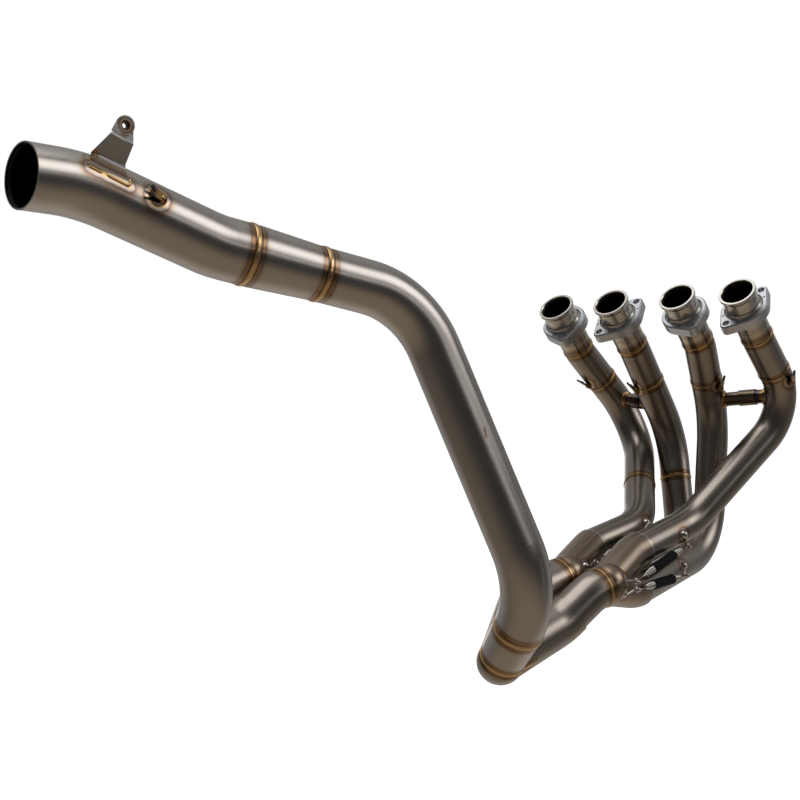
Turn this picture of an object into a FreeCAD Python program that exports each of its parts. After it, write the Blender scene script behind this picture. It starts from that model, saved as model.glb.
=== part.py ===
import FreeCAD
import Part
import os
from math import acos, atan2, ceil, cos, degrees, pi, radians, sin, sqrt, tan

Vector = FreeCAD.Vector

# Four-into-two-into-one exhaust header for an inline four-cylinder motorcycle engine.
# Frame: X forward, Y to the rider's left, Z up, origin at the mouth of spigot 1.

# Ports of the cylinder head
PORT_PITCH = 76.0            # cylinder 1 to 2, and 3 to 4
PORT_MIDDLE_GAP = 88.0       # cylinder 2 to 3
PORT_SLOPE = 55.0            # port axis below the horizontal, degrees
PORT_Y = [0.0, -PORT_PITCH, -PORT_PITCH - PORT_MIDDLE_GAP, -2 * PORT_PITCH - PORT_MIDDLE_GAP]
PORT_AXIS = Vector(cos(radians(PORT_SLOPE)), 0, -sin(radians(PORT_SLOPE)))

# Tube sizes, outside diameters and walls
PRIMARY_OD = 38.0
SECONDARY_OD = 45.0
LINK_OD = 54.0
OUTLET_OD = 60.0
BALANCE_OD = 17.0
TUBE_WALL = 1.2
OUTLET_WALL = 1.5
SLEEVE_WALL = 1.3
SLIP_CLEARANCE = 0.3         # radial gap of every slip joint
SLIP_DEPTH = 16.0            # how far a tube enters its sleeve
SLEEVE_STEP = 0.8            # step in the bore that the entering tube stops on
WELD_HEIGHT = 0.8
WELD_WIDTH = 4.4

# Turned spigots
SPIGOT_LENGTH = 68.5         # mouth to the first weld
SPIGOT_LIP_R = 22.2
SPIGOT_LIP_WALL = 3.0
SPIGOT_LIP_HEIGHT = 2.6
SPIGOT_BARREL_R = 20.2
SHOULDER_R = 22.8
SHOULDER_HEIGHT = 4.4
FLANGE_CLEARANCE = 0.3       # flange to spigot, all round and under the shoulder

# Two-bolt head flanges, free to turn on the spigots
FLANGE_SEAT = 24.0           # mouth to the face that meets the head
FLANGE_THICKNESS = 12.0
FLANGE_BODY_R = 28.0
FLANGE_BOLT_SPACING = 60.0
FLANGE_EAR_R = 7.5
FLANGE_BOLT_HOLE_R = 4.2
FLANGE_WIRE_HOLE_R = 1.2
FLANGE_WIRE_HOLE_X = 22.5
FLANGE_WIRE_HOLE_Y = 12.5
FLANGE_CHAMFER = 1.4
FLANGE_TURN = [72.0, 125.0, 57.0, 119.0]    # bolt line about the port axis, degrees

# Stations along the primaries, measured from the mouth
UPPER_WELD = 128.5
BALANCE_STATION = [167.0, 167.0, 164.0, 169.0]
HOOK_STATION = 139.0
LOWER_WELD = [317.0, 267.0]   # cylinders 1 and 2 have a third weld

# Balance tubes between the two primaries of a pair
PAIR_NAMES = ["12", "34"]
BALANCE_WALL = 1.2
BALANCE_SLEEVE_START = 0.37   # fraction of the gap between the primaries
BALANCE_SLEEVE_LENGTH = 0.42
BALANCE_SLIP = 0.18

# Corner points and bend radii of the primaries, after the mouth
NECK_STATION = 80.0
NECK_BEND = 60.0
PRIMARY_CORNERS = [
    [(133, -22, -183), (-39, -97, -266), (-129, -78, -268)],
    [(108, -80, -189), (52, -103, -317), (-150, -98, -318)],
    [(92, -148, -165), (34, -146, -317), (-162, -146, -310)],
    [(116, -242, -160), (-38, -162, -265), (-152, -143, -270)],
]
PRIMARY_BENDS = [(64, 79, 72), (83, 71, 70), (87, 77, 75), (55, 79, 69)]
COLLECTOR_MOUTH = [0.0, 16.0, 8.0, 15.0]   # sleeve mouth before the last corner

# Pair collectors, their outlets and the secondaries
SLEEVE_OD = PRIMARY_OD + 2 * (SLIP_CLEARANCE + SLEEVE_WALL)
PAIR_RING = [Vector(-215, -85, -281), Vector(-225, -141, -287)]
SECONDARY_CORNERS = [[Vector(-275, -68, -286)], [Vector(-239, -135, -289), Vector(-280, -115, -312)]]
SECONDARY_BENDS = [(60.0,), (40.0, 60.0)]
PAIR_BALL_R = 23.0
PAIR_BALL_SETBACK = 8.0
SECONDARY_MOUTH = [22.0, 50.0]        # ring to the mouth of the next sleeve
SECONDARY_SLIP_DEPTH = 13.0
FINAL_SLEEVE_OD = SECONDARY_OD + 2 * (SLIP_CLEARANCE + SLEEVE_WALL)
FINAL_OUTLET_R = 24.5
FINAL_BALL_R = 25.2
FINAL_STUB_LENGTH = 5.0               # lower weld of the link to the meeting point

# Link pipe and outlet pipe
LINK_RING_B = Vector(-369, -94, -322)
LINK_LOW = Vector(-385, -158, -247)
LINK_TOP = Vector(-415, -83, 66)
LINK_RING_2 = Vector(-502, -42, 108)
LINK_RING_1 = Vector(-567, -10, 138)
LINK_BEND_TOP = 99.0
LINK_BEND_LOW = 109.0
LINK_STUB_LENGTH = 46.0
OUTLET_CORNERS = [Vector(-596, 5, 151), Vector(-703, 50, 223)]
OUTLET_MOUTH = Vector(-760, 62, 238)
OUTLET_BENDS = (130.0, 167.0)


# Spring cleats: flat horned plates, foot near the point given, horns along the direction
CLEAT_THICKNESS = 2.0
CLEAT_LENGTH = 20.0
CLEAT_WIDTH = 12.0
CLEAT_TILT = 15.0
CLEAT_POINTS = [Vector(48, 8, -113), Vector(50, -63, -118), Vector(65, -174, -118), Vector(80, -259, -119)]
OUTLET_CLEAT_POINT = Vector(-661, 1, 203)

# Spring posts: a weld dome on the tube and a bent neck for the spring's loop.
# For each cylinder: where the weld dome and the loop lie round the primary, then round the collector.
POST_DOME_R = 5.2
POST_NECK_R = 1.4
POST_BELOW = 3.0
POST_ABOVE = 3.6
POST_TIP_R = 2.1
SPRING_SEATS = [
    [Vector(-48, -113, -262), Vector(-59, -116, -266), Vector(-189, -104, -275), Vector(-175, -107, -275)],
    [Vector(-54, -124, -306), Vector(-66, -122, -309), Vector(-197, -113, -294), Vector(-184, -119, -294)],
    [Vector(-70, -164, -308), Vector(-87, -173, -314), Vector(-215, -162, -297), Vector(-203, -172, -296)],
    [Vector(-79, -174, -268), Vector(-75, -174, -281), Vector(-212, -162, -283), Vector(-195, -168, -289)],
]
SPRING_REACH = 130.0         # length of primary before its sleeve that the posts can stand on
POST_HEIGHTS = [(5.0, 5.4), (5.0, 7.5), (8.0, 8.6), (5.0, 7.0)]   # loop over the tube, primary and collector
SPRING_WIRE_R = 0.8
SPRING_SHANK_R = 0.7
SPRING_LOOP_R = 3.0
SPRING_COIL_R = 4.2
SPRING_SHAPE = [0.13, 0.22, 0.74, 0.83]   # fractions of the length where the cones begin and end
RUBBER_R = 5.6
RUBBER_RUN = [0.28, 0.68]                 # fractions of the length that the rubber covers

# Silencer bracket on the outlet pipe, folded from 2 mm sheet
BRACKET_THICKNESS = 2.0
BRACKET_FOOT = [Vector(-715, 27, 237), Vector(-683, 14, 215)]
BRACKET_FOLD = [Vector(-708, 27, 249), Vector(-682, 15, 234)]
BRACKET_TOP_FOLD = [Vector(-698, 7, 266), Vector(-683, 0, 250)]
BRACKET_TAB_CENTRE = Vector(-686, 2, 268)
BRACKET_TAB_R = 8.5
BRACKET_HOLE_R = 3.3
NUT_ACROSS = 10.0
NUT_THICKNESS = 5.0

# Frame tab on the final collector
TAB_FOOT = Vector(-322, -82, -288)
TAB_UP = Vector(0, 1, 10)
TAB_REACH = 22.0
TAB_R = 10.0
TAB_HOLE_R = 4.2
TAB_THICKNESS = 3.0


def unit(v):
    return v * (1.0 / v.Length)


def route(points, radii):
    """Straight runs joined by tangent arcs, as a list of segments."""
    points = [Vector(*p) for p in points]
    segments = []
    start = points[0]
    for i in range(1, len(points) - 1):
        into = unit(points[i] - points[i - 1])
        out = unit(points[i + 1] - points[i])
        turn = acos(max(-1.0, min(1.0, into.dot(out))))
        setback = radii[i - 1] * tan(turn / 2)
        bend_start = points[i] - into * setback
        run = bend_start - start
        segments.append({"kind": "line", "start": start, "dir": into, "length": run.dot(into)})
        side = unit(out - into * into.dot(out))
        segments.append({
            "kind": "arc", "start": bend_start, "dir": into, "side": side,
            "radius": radii[i - 1], "turn": turn, "length": radii[i - 1] * turn,
        })
        start = points[i] + out * setback
    last = points[-1] - start
    segments.append({"kind": "line", "start": start, "dir": unit(last), "length": last.Length})
    return segments


def route_length(segments):
    return sum(s["length"] for s in segments)


def on_segment(seg, s):
    """Point and direction at distance s along one segment."""
    if seg["kind"] == "line":
        return seg["start"] + seg["dir"] * s, seg["dir"]
    angle = s / seg["radius"]
    point = seg["start"] + seg["dir"] * (seg["radius"] * sin(angle))
    point = point + seg["side"] * (seg["radius"] * (1 - cos(angle)))
    return point, seg["dir"] * cos(angle) + seg["side"] * sin(angle)


def on_route(segments, s):
    for seg in segments:
        if s <= seg["length"] + 1e-9 or seg is segments[-1]:
            return on_segment(seg, s)
        s -= seg["length"]


def stretch(segments, s0, s1):
    """The part of a route between two stations."""
    found = []
    passed = 0.0
    for seg in segments:
        low = max(s0 - passed, 0.0)
        high = min(s1 - passed, seg["length"])
        if high - low > 1e-6:
            point, direction = on_segment(seg, low)
            cut = dict(seg)
            cut["start"] = point
            cut["dir"] = direction
            cut["length"] = high - low
            if seg["kind"] == "arc":
                angle = low / seg["radius"]
                cut["side"] = seg["side"] * cos(angle) - seg["dir"] * sin(angle)
                cut["turn"] = (high - low) / seg["radius"]
            found.append(cut)
        passed += seg["length"]
    return found


def disc(centre, direction, radius):
    return Part.Face(Part.Wire(Part.makeCircle(radius, centre, direction)))


def sweep(segments, radius):
    """A solid bar of round section along a route."""
    bars = []
    for seg in segments:
        face = disc(seg["start"], seg["dir"], radius)
        if seg["kind"] == "line":
            bars.append(face.extrude(seg["dir"] * seg["length"]))
        else:
            centre = seg["start"] + seg["side"] * seg["radius"]
            axis = seg["dir"].cross(seg["side"])
            bars.append(face.revolve(centre, axis, degrees(seg["turn"])))
    return bars


def join(solids):
    if len(solids) == 1:
        return solids[0]
    return solids[0].multiFuse(solids[1:]).removeSplitter()


def tube(segments, outer_r, wall):
    """A hollow tube along a route, open at both ends."""
    rings = []
    for seg in segments:
        face = disc(seg["start"], seg["dir"], outer_r).cut(disc(seg["start"], seg["dir"], outer_r - wall))
        if seg["kind"] == "line":
            rings.append(face.extrude(seg["dir"] * seg["length"]))
        else:
            centre = seg["start"] + seg["side"] * seg["radius"]
            axis = seg["dir"].cross(seg["side"])
            rings.append(face.revolve(centre, axis, degrees(seg["turn"])))
    return join(rings)


def turned(profile, origin, axis):
    """A turned part: profile points are (distance along the axis, radius)."""
    across = unit(axis.cross(Vector(0, 1, 0)))
    if abs(axis.dot(Vector(0, 1, 0))) > 0.9:
        across = unit(axis.cross(Vector(1, 0, 0)))
    points = [origin + axis * s + across * r for s, r in profile]
    face = Part.Face(Part.makePolygon(points + [points[0]]))
    return face.revolve(origin, axis, 360)


def weld_ring(segments, s, tube_r):
    """A low weld bead round a tube."""
    start, direction = on_route(segments, s - WELD_WIDTH / 2)
    root = tube_r - 0.3
    crown = tube_r + WELD_HEIGHT
    profile = [(0, root), (WELD_WIDTH / 4, crown), (WELD_WIDTH * 3 / 4, crown), (WELD_WIDTH, root)]
    return turned(profile, start, direction)


def cylinder(centre, axis, radius, length):
    return Part.makeCylinder(radius, length, centre, axis)


def primary_route(i):
    mouth = Vector(0, PORT_Y[i], 0)
    neck = mouth + PORT_AXIS * NECK_STATION
    pair = i // 2
    points = [mouth, neck] + [Vector(*c) for c in PRIMARY_CORNERS[i]] + [PAIR_RING[pair]]
    return route(points, (NECK_BEND,) + PRIMARY_BENDS[i])


def sleeve_mouth_station(i, segments):
    """Station of the collector sleeve's mouth on primary i."""
    corner = Vector(*PRIMARY_CORNERS[i][2])
    before = Vector(*PRIMARY_CORNERS[i][1])
    target = corner + unit(before - corner) * COLLECTOR_MOUTH[i]
    passed = 0.0
    best = None
    for seg in segments:
        if seg["kind"] == "line":
            along = (target - seg["start"]).dot(seg["dir"])
            off = (target - seg["start"] - seg["dir"] * along).Length
            if best is None or off < best[0]:
                best = (off, passed + along)
        passed += seg["length"]
    return best[1]


def spigot(i):
    """Turned collar that enters the port, with the shoulder that its flange pulls on."""
    tube_r = PRIMARY_OD / 2
    seat = FLANGE_SEAT + FLANGE_CLEARANCE
    outer = [
        (0, SPIGOT_LIP_R - 0.6), (0.6, SPIGOT_LIP_R), (SPIGOT_LIP_HEIGHT, SPIGOT_LIP_R),
        (SPIGOT_LIP_HEIGHT + 3.4, SPIGOT_BARREL_R), (seat - 9.6, SPIGOT_BARREL_R),
        (seat - 9.4, SPIGOT_BARREL_R - 0.3), (seat - 9.0, SPIGOT_BARREL_R - 0.3),
        (seat - 8.8, SPIGOT_BARREL_R), (seat - 3.0, SPIGOT_BARREL_R),
        (seat - 1.2, SPIGOT_BARREL_R + 0.7), (seat, SHOULDER_R - 0.8), (seat + 0.8, SHOULDER_R),
        (seat + SHOULDER_HEIGHT, SHOULDER_R), (seat + SHOULDER_HEIGHT, tube_r), (SPIGOT_LENGTH, tube_r),
    ]
    inner = [
        (SPIGOT_LENGTH, tube_r - TUBE_WALL), (seat + 6, tube_r - TUBE_WALL),
        (1.0, SPIGOT_LIP_R - SPIGOT_LIP_WALL - 0.6), (0, SPIGOT_LIP_R - SPIGOT_LIP_WALL),
    ]
    return turned(outer + inner, Vector(0, PORT_Y[i], 0), PORT_AXIS)


def place_on_port(shape, i, station, turn):
    """Moves a shape drawn at the origin, Z along the tube, on to port i."""
    placed = shape.copy()
    placed.rotate(Vector(0, 0, 0), Vector(0, 0, 1), turn)
    frame = FreeCAD.Matrix()
    y_dir = Vector(0, 1, 0)
    across = PORT_AXIS.cross(y_dir)
    frame.A11, frame.A21, frame.A31 = y_dir.x, y_dir.y, y_dir.z
    frame.A12, frame.A22, frame.A32 = across.x, across.y, across.z
    frame.A13, frame.A23, frame.A33 = PORT_AXIS.x, PORT_AXIS.y, PORT_AXIS.z
    origin = Vector(0, PORT_Y[i], 0) + PORT_AXIS * station
    frame.A14, frame.A24, frame.A34 = origin.x, origin.y, origin.z
    placed.Placement = FreeCAD.Placement(frame).multiply(placed.Placement)
    return placed


def hull_outline(body_r, ear_r, ear_x):
    """Closed outline round a middle circle and two ears, in the XY plane."""
    lean = acos((body_r - ear_r) / ear_x)
    def on_circle(cx, r, angle):
        return Vector(cx + r * cos(angle), r * sin(angle), 0)
    edges = []
    for cx, r, a0, a1 in (
        (ear_x, ear_r, -lean, lean), (0, body_r, lean, pi - lean),
        (-ear_x, ear_r, pi - lean, pi + lean), (0, body_r, pi + lean, 2 * pi - lean),
    ):
        start = on_circle(cx, r, a0)
        if edges:
            edges.append(Part.LineSegment(last, start).toShape())
        edges.append(Part.Arc(start, on_circle(cx, r, (a0 + a1) / 2), on_circle(cx, r, a1)).toShape())
        last = on_circle(cx, r, a1)
    edges.append(Part.LineSegment(last, on_circle(ear_x, ear_r, -lean)).toShape())
    return Part.Wire(Part.__sortEdges__(edges))


def head_flange(i):
    """Machined two-bolt flange with a counterbore for the spigot's shoulder."""
    wire = hull_outline(FLANGE_BODY_R, FLANGE_EAR_R, FLANGE_BOLT_SPACING / 2)
    blank = Part.Face(wire).extrude(Vector(0, 0, FLANGE_THICKNESS))
    rim = [e for e in blank.Edges if abs(e.BoundBox.ZMax) < 1e-6 and abs(e.BoundBox.ZMin) < 1e-6]
    blank = blank.makeChamfer(FLANGE_CHAMFER, rim)
    z_up = Vector(0, 0, 1)
    cuts = [cylinder(Vector(0, 0, -1), z_up, PRIMARY_OD / 2 + FLANGE_CLEARANCE, FLANGE_THICKNESS + 2)]
    recess = FLANGE_CLEARANCE * 2 + SHOULDER_HEIGHT
    cuts.append(cylinder(Vector(0, 0, -1), z_up, SHOULDER_R + 2 * FLANGE_CLEARANCE, recess + 1))
    for side in (-1, 1):
        x = side * FLANGE_BOLT_SPACING / 2
        cuts.append(cylinder(Vector(x, 0, -1), z_up, FLANGE_BOLT_HOLE_R, FLANGE_THICKNESS + 2))
        for half in (-1, 1):
            spot = Vector(side * FLANGE_WIRE_HOLE_X, half * FLANGE_WIRE_HOLE_Y, -1)
            cuts.append(cylinder(spot, z_up, FLANGE_WIRE_HOLE_R, FLANGE_THICKNESS + 2))
    blank = blank.cut(Part.makeCompound(cuts))
    return place_on_port(blank, i, FLANGE_SEAT, FLANGE_TURN[i])


def primary_pieces(i):
    """Tube pieces of one primary between its welds, each with the weld at its upper end."""
    segments = primary_route(i)
    mouth = sleeve_mouth_station(i, segments)
    stops = [SPIGOT_LENGTH, UPPER_WELD]
    names = ["upper", "main"]
    if i < 2:
        stops.append(LOWER_WELD[i])
        names.append("lower")
    stops.append(mouth + SLIP_DEPTH)
    pieces = []
    for name, s0, s1 in zip(names, stops[:-1], stops[1:]):
        body = tube(stretch(segments, s0, s1), PRIMARY_OD / 2, TUBE_WALL)
        pieces.append(("primary_%s_%d" % (name, i + 1), body.fuse(weld_ring(segments, s0 + WELD_WIDTH / 2, PRIMARY_OD / 2))))
    return pieces


def bore_bars(segments, s0, s1, bore_r, depth):
    """Inner bars of a slip sleeve: a wide mouth, then a step that the entering tube stops on."""
    mouth = stretch(segments, s0, s0 + depth)
    first = dict(mouth[0])
    lead = {"kind": "line", "start": first["start"] - first["dir"] * 2, "dir": first["dir"], "length": 2.0}
    bars = sweep([lead] + mouth, bore_r)
    return bars + sweep(stretch(segments, s0 + depth, s1), bore_r - SLEEVE_STEP)


def hollow(outer, inner):
    """Joined outer solids with every inner solid taken out of them."""
    body = join(outer)
    for solid in inner:
        body = body.cut(solid)
    return body


def ball(centre, radius):
    return Part.makeSphere(radius, centre)


def pair_flow(pair):
    """Where the sleeves of a pair meet, and the direction of the outlet."""
    flow = unit(SECONDARY_CORNERS[pair][0] - PAIR_RING[pair])
    return PAIR_RING[pair] - flow * PAIR_BALL_SETBACK, flow


def pair_solids(pair):
    """Solid bars with the outside shape of a pair collector."""
    meet, flow = pair_flow(pair)
    solids = [ball(meet, PAIR_BALL_R), cylinder(meet, flow, SECONDARY_OD / 2, PAIR_BALL_SETBACK)]
    for i in (2 * pair, 2 * pair + 1):
        segments = primary_route(i)
        mouth = sleeve_mouth_station(i, segments)
        end = route_length(segments) - PAIR_BALL_SETBACK
        solids.append(join(sweep(stretch(segments, mouth, end), SLEEVE_OD / 2)))
    return solids


def pair_collector(pair):
    """Two slip sleeves merging into one short round outlet."""
    meet, flow = pair_flow(pair)
    out_r = SECONDARY_OD / 2
    inner = [ball(meet, out_r - TUBE_WALL), cylinder(meet, flow, out_r - TUBE_WALL, PAIR_BALL_SETBACK + 1)]
    for i in (2 * pair, 2 * pair + 1):
        segments = primary_route(i)
        mouth = sleeve_mouth_station(i, segments)
        end = route_length(segments) - PAIR_BALL_SETBACK
        bore_r = PRIMARY_OD / 2 + SLIP_CLEARANCE
        inner.append(join(bore_bars(segments, mouth, end, bore_r, SLIP_DEPTH)))
    inner.append(cylinder(PAIR_RING[pair], flow, 2 * out_r, 2 * out_r))
    return hollow(pair_solids(pair), inner)


def final_centre():
    return LINK_RING_B - unit(LINK_LOW - LINK_RING_B) * FINAL_STUB_LENGTH


def secondary_route(pair):
    return route([PAIR_RING[pair]] + SECONDARY_CORNERS[pair] + [final_centre()], SECONDARY_BENDS[pair])


def secondary(pair):
    """Short tube from a pair collector into the final collector's sleeve."""
    segments = secondary_route(pair)
    end = SECONDARY_MOUTH[pair] + SECONDARY_SLIP_DEPTH
    body = tube(stretch(segments, 0, end), SECONDARY_OD / 2, TUBE_WALL)
    return body.fuse(weld_ring(segments, WELD_WIDTH / 2, SECONDARY_OD / 2))


def stub_cone(inset):
    """Solid cone filling the link stub, inset from its outside."""
    foot, up = on_route(link_route(), 0)
    low_r = FINAL_OUTLET_R - inset
    top_r = LINK_OD / 2 - inset
    return turned([(0, 0), (0, low_r), (LINK_STUB_LENGTH, top_r), (LINK_STUB_LENGTH, 0)], foot, up)


def final_collector():
    """Two large slip sleeves meeting under the link stub, with the bars that open it."""
    centre = final_centre()
    up = unit(LINK_LOW - LINK_RING_B)
    out_r = FINAL_OUTLET_R
    outer = [ball(centre, FINAL_BALL_R), cylinder(centre, up, out_r, FINAL_STUB_LENGTH)]
    inner = [ball(centre, out_r - TUBE_WALL), cylinder(centre, up, out_r - TUBE_WALL, FINAL_STUB_LENGTH + 1)]
    for pair in (0, 1):
        segments = secondary_route(pair)
        mouth = SECONDARY_MOUTH[pair]
        end = route_length(segments)
        outer.append(join(sweep(stretch(segments, mouth, end), FINAL_SLEEVE_OD / 2)))
        bore_r = SECONDARY_OD / 2 + SLIP_CLEARANCE
        inner.append(join(bore_bars(segments, mouth, end, bore_r, SECONDARY_SLIP_DEPTH)))
    weld = weld_ring(link_route(), WELD_WIDTH / 2, out_r)
    return hollow(outer, inner + [stub_cone(0.0), weld]), inner


def link_route():
    points = [LINK_RING_B, LINK_LOW, LINK_TOP] + OUTLET_CORNERS + [OUTLET_MOUTH]
    return route(points, (LINK_BEND_LOW, LINK_BEND_TOP) + OUTLET_BENDS)


def station_of(segments, target):
    """Station of the point on a straight run nearest to a target."""
    passed = 0.0
    best = None
    for seg in segments:
        if seg["kind"] == "line":
            along = (target - seg["start"]).dot(seg["dir"])
            along = max(0.0, min(seg["length"], along))
            off = (target - seg["start"] - seg["dir"] * along).Length
            if best is None or off < best[0]:
                best = (off, passed + along)
        passed += seg["length"]
    return best[1]


def link_pieces(opening):
    segments = link_route()
    half = WELD_WIDTH / 2
    ring_2 = station_of(segments, LINK_RING_2)
    ring_1 = station_of(segments, LINK_RING_1)
    link_r = LINK_OD / 2
    outlet_r = OUTLET_OD / 2
    stub = stub_cone(0.0).cut(stub_cone(TUBE_WALL)).fuse(weld_ring(segments, half, FINAL_OUTLET_R))
    stub = hollow([stub], opening)
    pipe = tube(stretch(segments, LINK_STUB_LENGTH, ring_2), link_r, TUBE_WALL)
    low, down = on_route(segments, ring_2)
    length = ring_1 - ring_2
    profile = [(0, link_r - TUBE_WALL), (0, link_r), (6, link_r), (length - 6, outlet_r)]
    profile += [(length, outlet_r), (length, outlet_r - OUTLET_WALL)]
    profile += [(length - 6, outlet_r - OUTLET_WALL), (6, link_r - TUBE_WALL)]
    cone = turned(profile, low, down)
    outlet = tube(stretch(segments, ring_1, route_length(segments)), outlet_r, OUTLET_WALL)
    return {
        "link_stub": stub,
        "link_pipe": pipe.fuse(weld_ring(segments, LINK_STUB_LENGTH + half, link_r)),
        "reducer": cone.fuse(weld_ring(segments, ring_2 + half, link_r)),
        "outlet_pipe": outlet.fuse(weld_ring(segments, ring_1 + half, outlet_r)),
    }


def balance_line(pair):
    """Centres of the two primaries of a pair where the balance tube joins them."""
    ends = []
    for i in (2 * pair, 2 * pair + 1):
        ends.append(on_route(primary_route(i), BALANCE_STATION[i])[0])
    return ends


def balance_pieces(pair):
    """Two saddle-cut stubs and the sleeve that joins them."""
    a, b = balance_line(pair)
    across = unit(b - a)
    span = (b - a).Length
    gap = span - PRIMARY_OD
    left = PRIMARY_OD / 2 + gap * BALANCE_SLEEVE_START
    right = left + gap * BALANCE_SLEEVE_LENGTH
    slip = gap * BALANCE_SLIP
    outer_r = BALANCE_OD / 2
    pieces = {}
    for i, start, end in ((2 * pair, 0.0, left + slip), (2 * pair + 1, right - slip, span)):
        stub = cylinder(a + across * start, across, outer_r, end - start)
        near = start if i % 2 == 0 else end
        root = a + across * near
        way = across if i % 2 == 0 else across * -1
        weld = turned([(0, 0.5), (0, outer_r + 1.6), (PRIMARY_OD / 2 + 0.6, outer_r + 1.6),
                       (PRIMARY_OD / 2 + 2.2, outer_r - 0.2), (PRIMARY_OD / 2 + 2.2, 0.5)], root, way)
        bore = cylinder(a + across * (start - 1), across, outer_r - BALANCE_WALL, end - start + 2)
        station = BALANCE_STATION[i]
        trunk = join(sweep(stretch(primary_route(i), station - 40, station + 40), PRIMARY_OD / 2))
        pieces["balance_stub_%d" % (i + 1)] = stub.fuse(weld).cut(bore).cut(trunk)
    sleeve = cylinder(a + across * left, across, outer_r + BALANCE_WALL, right - left)
    sleeve = sleeve.cut(cylinder(a + across * (left - 1), across, outer_r, (right - left) / 2 + 1))
    sleeve = sleeve.cut(cylinder(a + across * (left + 1), across, outer_r + SLIP_CLEARANCE - 0.1, right - left))
    pieces["balance_sleeve_%s" % PAIR_NAMES[pair]] = sleeve
    return pieces


def balance_bore(i):
    a, b = balance_line(i // 2)
    start, end = (a, b) if i % 2 == 0 else (b, a)
    return cylinder(start, unit(end - start), BALANCE_OD / 2 - BALANCE_WALL, PRIMARY_OD / 2 + 3)


def seat(segments, near, radius):
    """Surface point of a tube nearest to a point, with the outward normal and the tube's direction."""
    length = route_length(segments)
    steps = int(length)
    best = min(range(steps + 1), key=lambda k: (on_route(segments, k * length / steps)[0] - near).Length)
    low = max(0.0, (best - 1) * length / steps)
    high = min(length, (best + 1) * length / steps)
    for _ in range(30):
        third = (high - low) / 3
        if (on_route(segments, low + third)[0] - near).Length < (on_route(segments, high - third)[0] - near).Length:
            high -= third
        else:
            low += third
    centre, along = on_route(segments, (low + high) / 2)
    normal = near - centre
    normal = unit(normal - along * normal.dot(along))
    return centre + normal * radius, normal, along, (low + high) / 2


def around(segments, station, radius, reach=45.0):
    """Solid bar of a tube near a station, to cut saddles with."""
    low = max(0.0, station - reach)
    high = min(route_length(segments), station + reach)
    return join(sweep(stretch(segments, low, high), radius))


def place(shape, origin, x_dir, z_dir):
    """Moves a shape drawn at the origin so that its X and Z lie along the given directions."""
    z_dir = unit(z_dir)
    x_dir = unit(x_dir - z_dir * x_dir.dot(z_dir))
    y_dir = z_dir.cross(x_dir)
    matrix = FreeCAD.Matrix(
        x_dir.x, y_dir.x, z_dir.x, origin.x,
        x_dir.y, y_dir.y, z_dir.y, origin.y,
        x_dir.z, y_dir.z, z_dir.z, origin.z,
        0, 0, 0, 1,
    )
    placed = shape.copy()
    placed.Placement = FreeCAD.Placement(matrix).multiply(placed.Placement)
    return placed


def cleat(segments, near, radius, heading, weld_station):
    """Horned spring cleat: its foot is welded to the tube and its horns stand off it."""
    foot, normal, along, station = seat(segments, near, radius)
    if along.dot(heading) < 0:
        along = along * -1
    half = CLEAT_WIDTH / 2
    outline = [
        (-4, -half * 0.55), (3, -half * 0.7), (8, -half * 0.75), (CLEAT_LENGTH - 5, -half),
        (CLEAT_LENGTH - 4, -half + 2.6), (9.5, -1.2), (9.5, 1.2), (CLEAT_LENGTH - 4, half - 2.6),
        (CLEAT_LENGTH - 5, half), (8, half * 0.75), (3, half * 0.7), (-4, half * 0.55),
    ]
    points = [Vector(x, y, 0) for x, y in outline]
    plate = Part.Face(Part.makePolygon(points + [points[0]])).extrude(Vector(0, 0, CLEAT_THICKNESS))
    plate.rotate(Vector(-4, 0, 0), Vector(0, 1, 0), -CLEAT_TILT)
    weld = ball(Vector(-1, 0, -0.4), 4.6)
    shape = place(plate.fuse(weld), foot - along * 4, along, normal)
    return hollow([shape], [around(segments, station, radius), weld_ring(segments, weld_station, radius)])


def spring_post(segments, near, loop, axis, radius):
    """Weld dome and bent neck that the spring's loop hangs on."""
    base, normal, _, _ = seat(segments, near, radius)
    out = seat(segments, loop, radius)[1]
    out = unit(out - axis * out.dot(axis))
    elbow = loop - out * POST_BELOW
    tip = loop + out * POST_ABOVE
    knee = base + normal * (POST_DOME_R - POST_NECK_R - 0.4)
    dome = Part.makeSphere(POST_DOME_R, base - normal, normal)
    pieces = [rod(knee, elbow, POST_NECK_R), ball(elbow, POST_NECK_R)]
    pieces += [rod(elbow, tip, POST_NECK_R), ball(tip, POST_TIP_R)]
    return dome.multiFuse(pieces), out


def spring_pull():
    return SPRING_LOOP_R - SPRING_WIRE_R - POST_NECK_R - 0.05


def spring(a, a_out, b, b_out):
    """Extension spring between two posts: coil with conical ends, shanks and closed loops."""
    axis = unit(b - a)
    length = (b - a).Length
    start = spring_pull() + SPRING_LOOP_R
    cone_0, coil_0, coil_1, cone_1 = [f * length for f in SPRING_SHAPE]
    profile = [(start, 0), (start, SPRING_SHANK_R), (cone_0, SPRING_SHANK_R), (cone_0, 1.9)]
    profile += [(coil_0, SPRING_COIL_R), (coil_1, SPRING_COIL_R), (cone_1, 1.9)]
    profile += [(cone_1, SPRING_SHANK_R), (length - start, SPRING_SHANK_R), (length - start, 0)]
    body = turned(profile, a, axis)
    loops = []
    for end, way, out in ((a, axis, a_out), (b, axis * -1, b_out)):
        ring = Part.makeTorus(SPRING_LOOP_R, SPRING_WIRE_R)
        seam = out.cross(way) * 0.6 - way * 0.8
        loops.append(place(ring, end + way * spring_pull(), seam, out))
    return body.fuse(loops[0]).fuse(loops[1])


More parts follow.
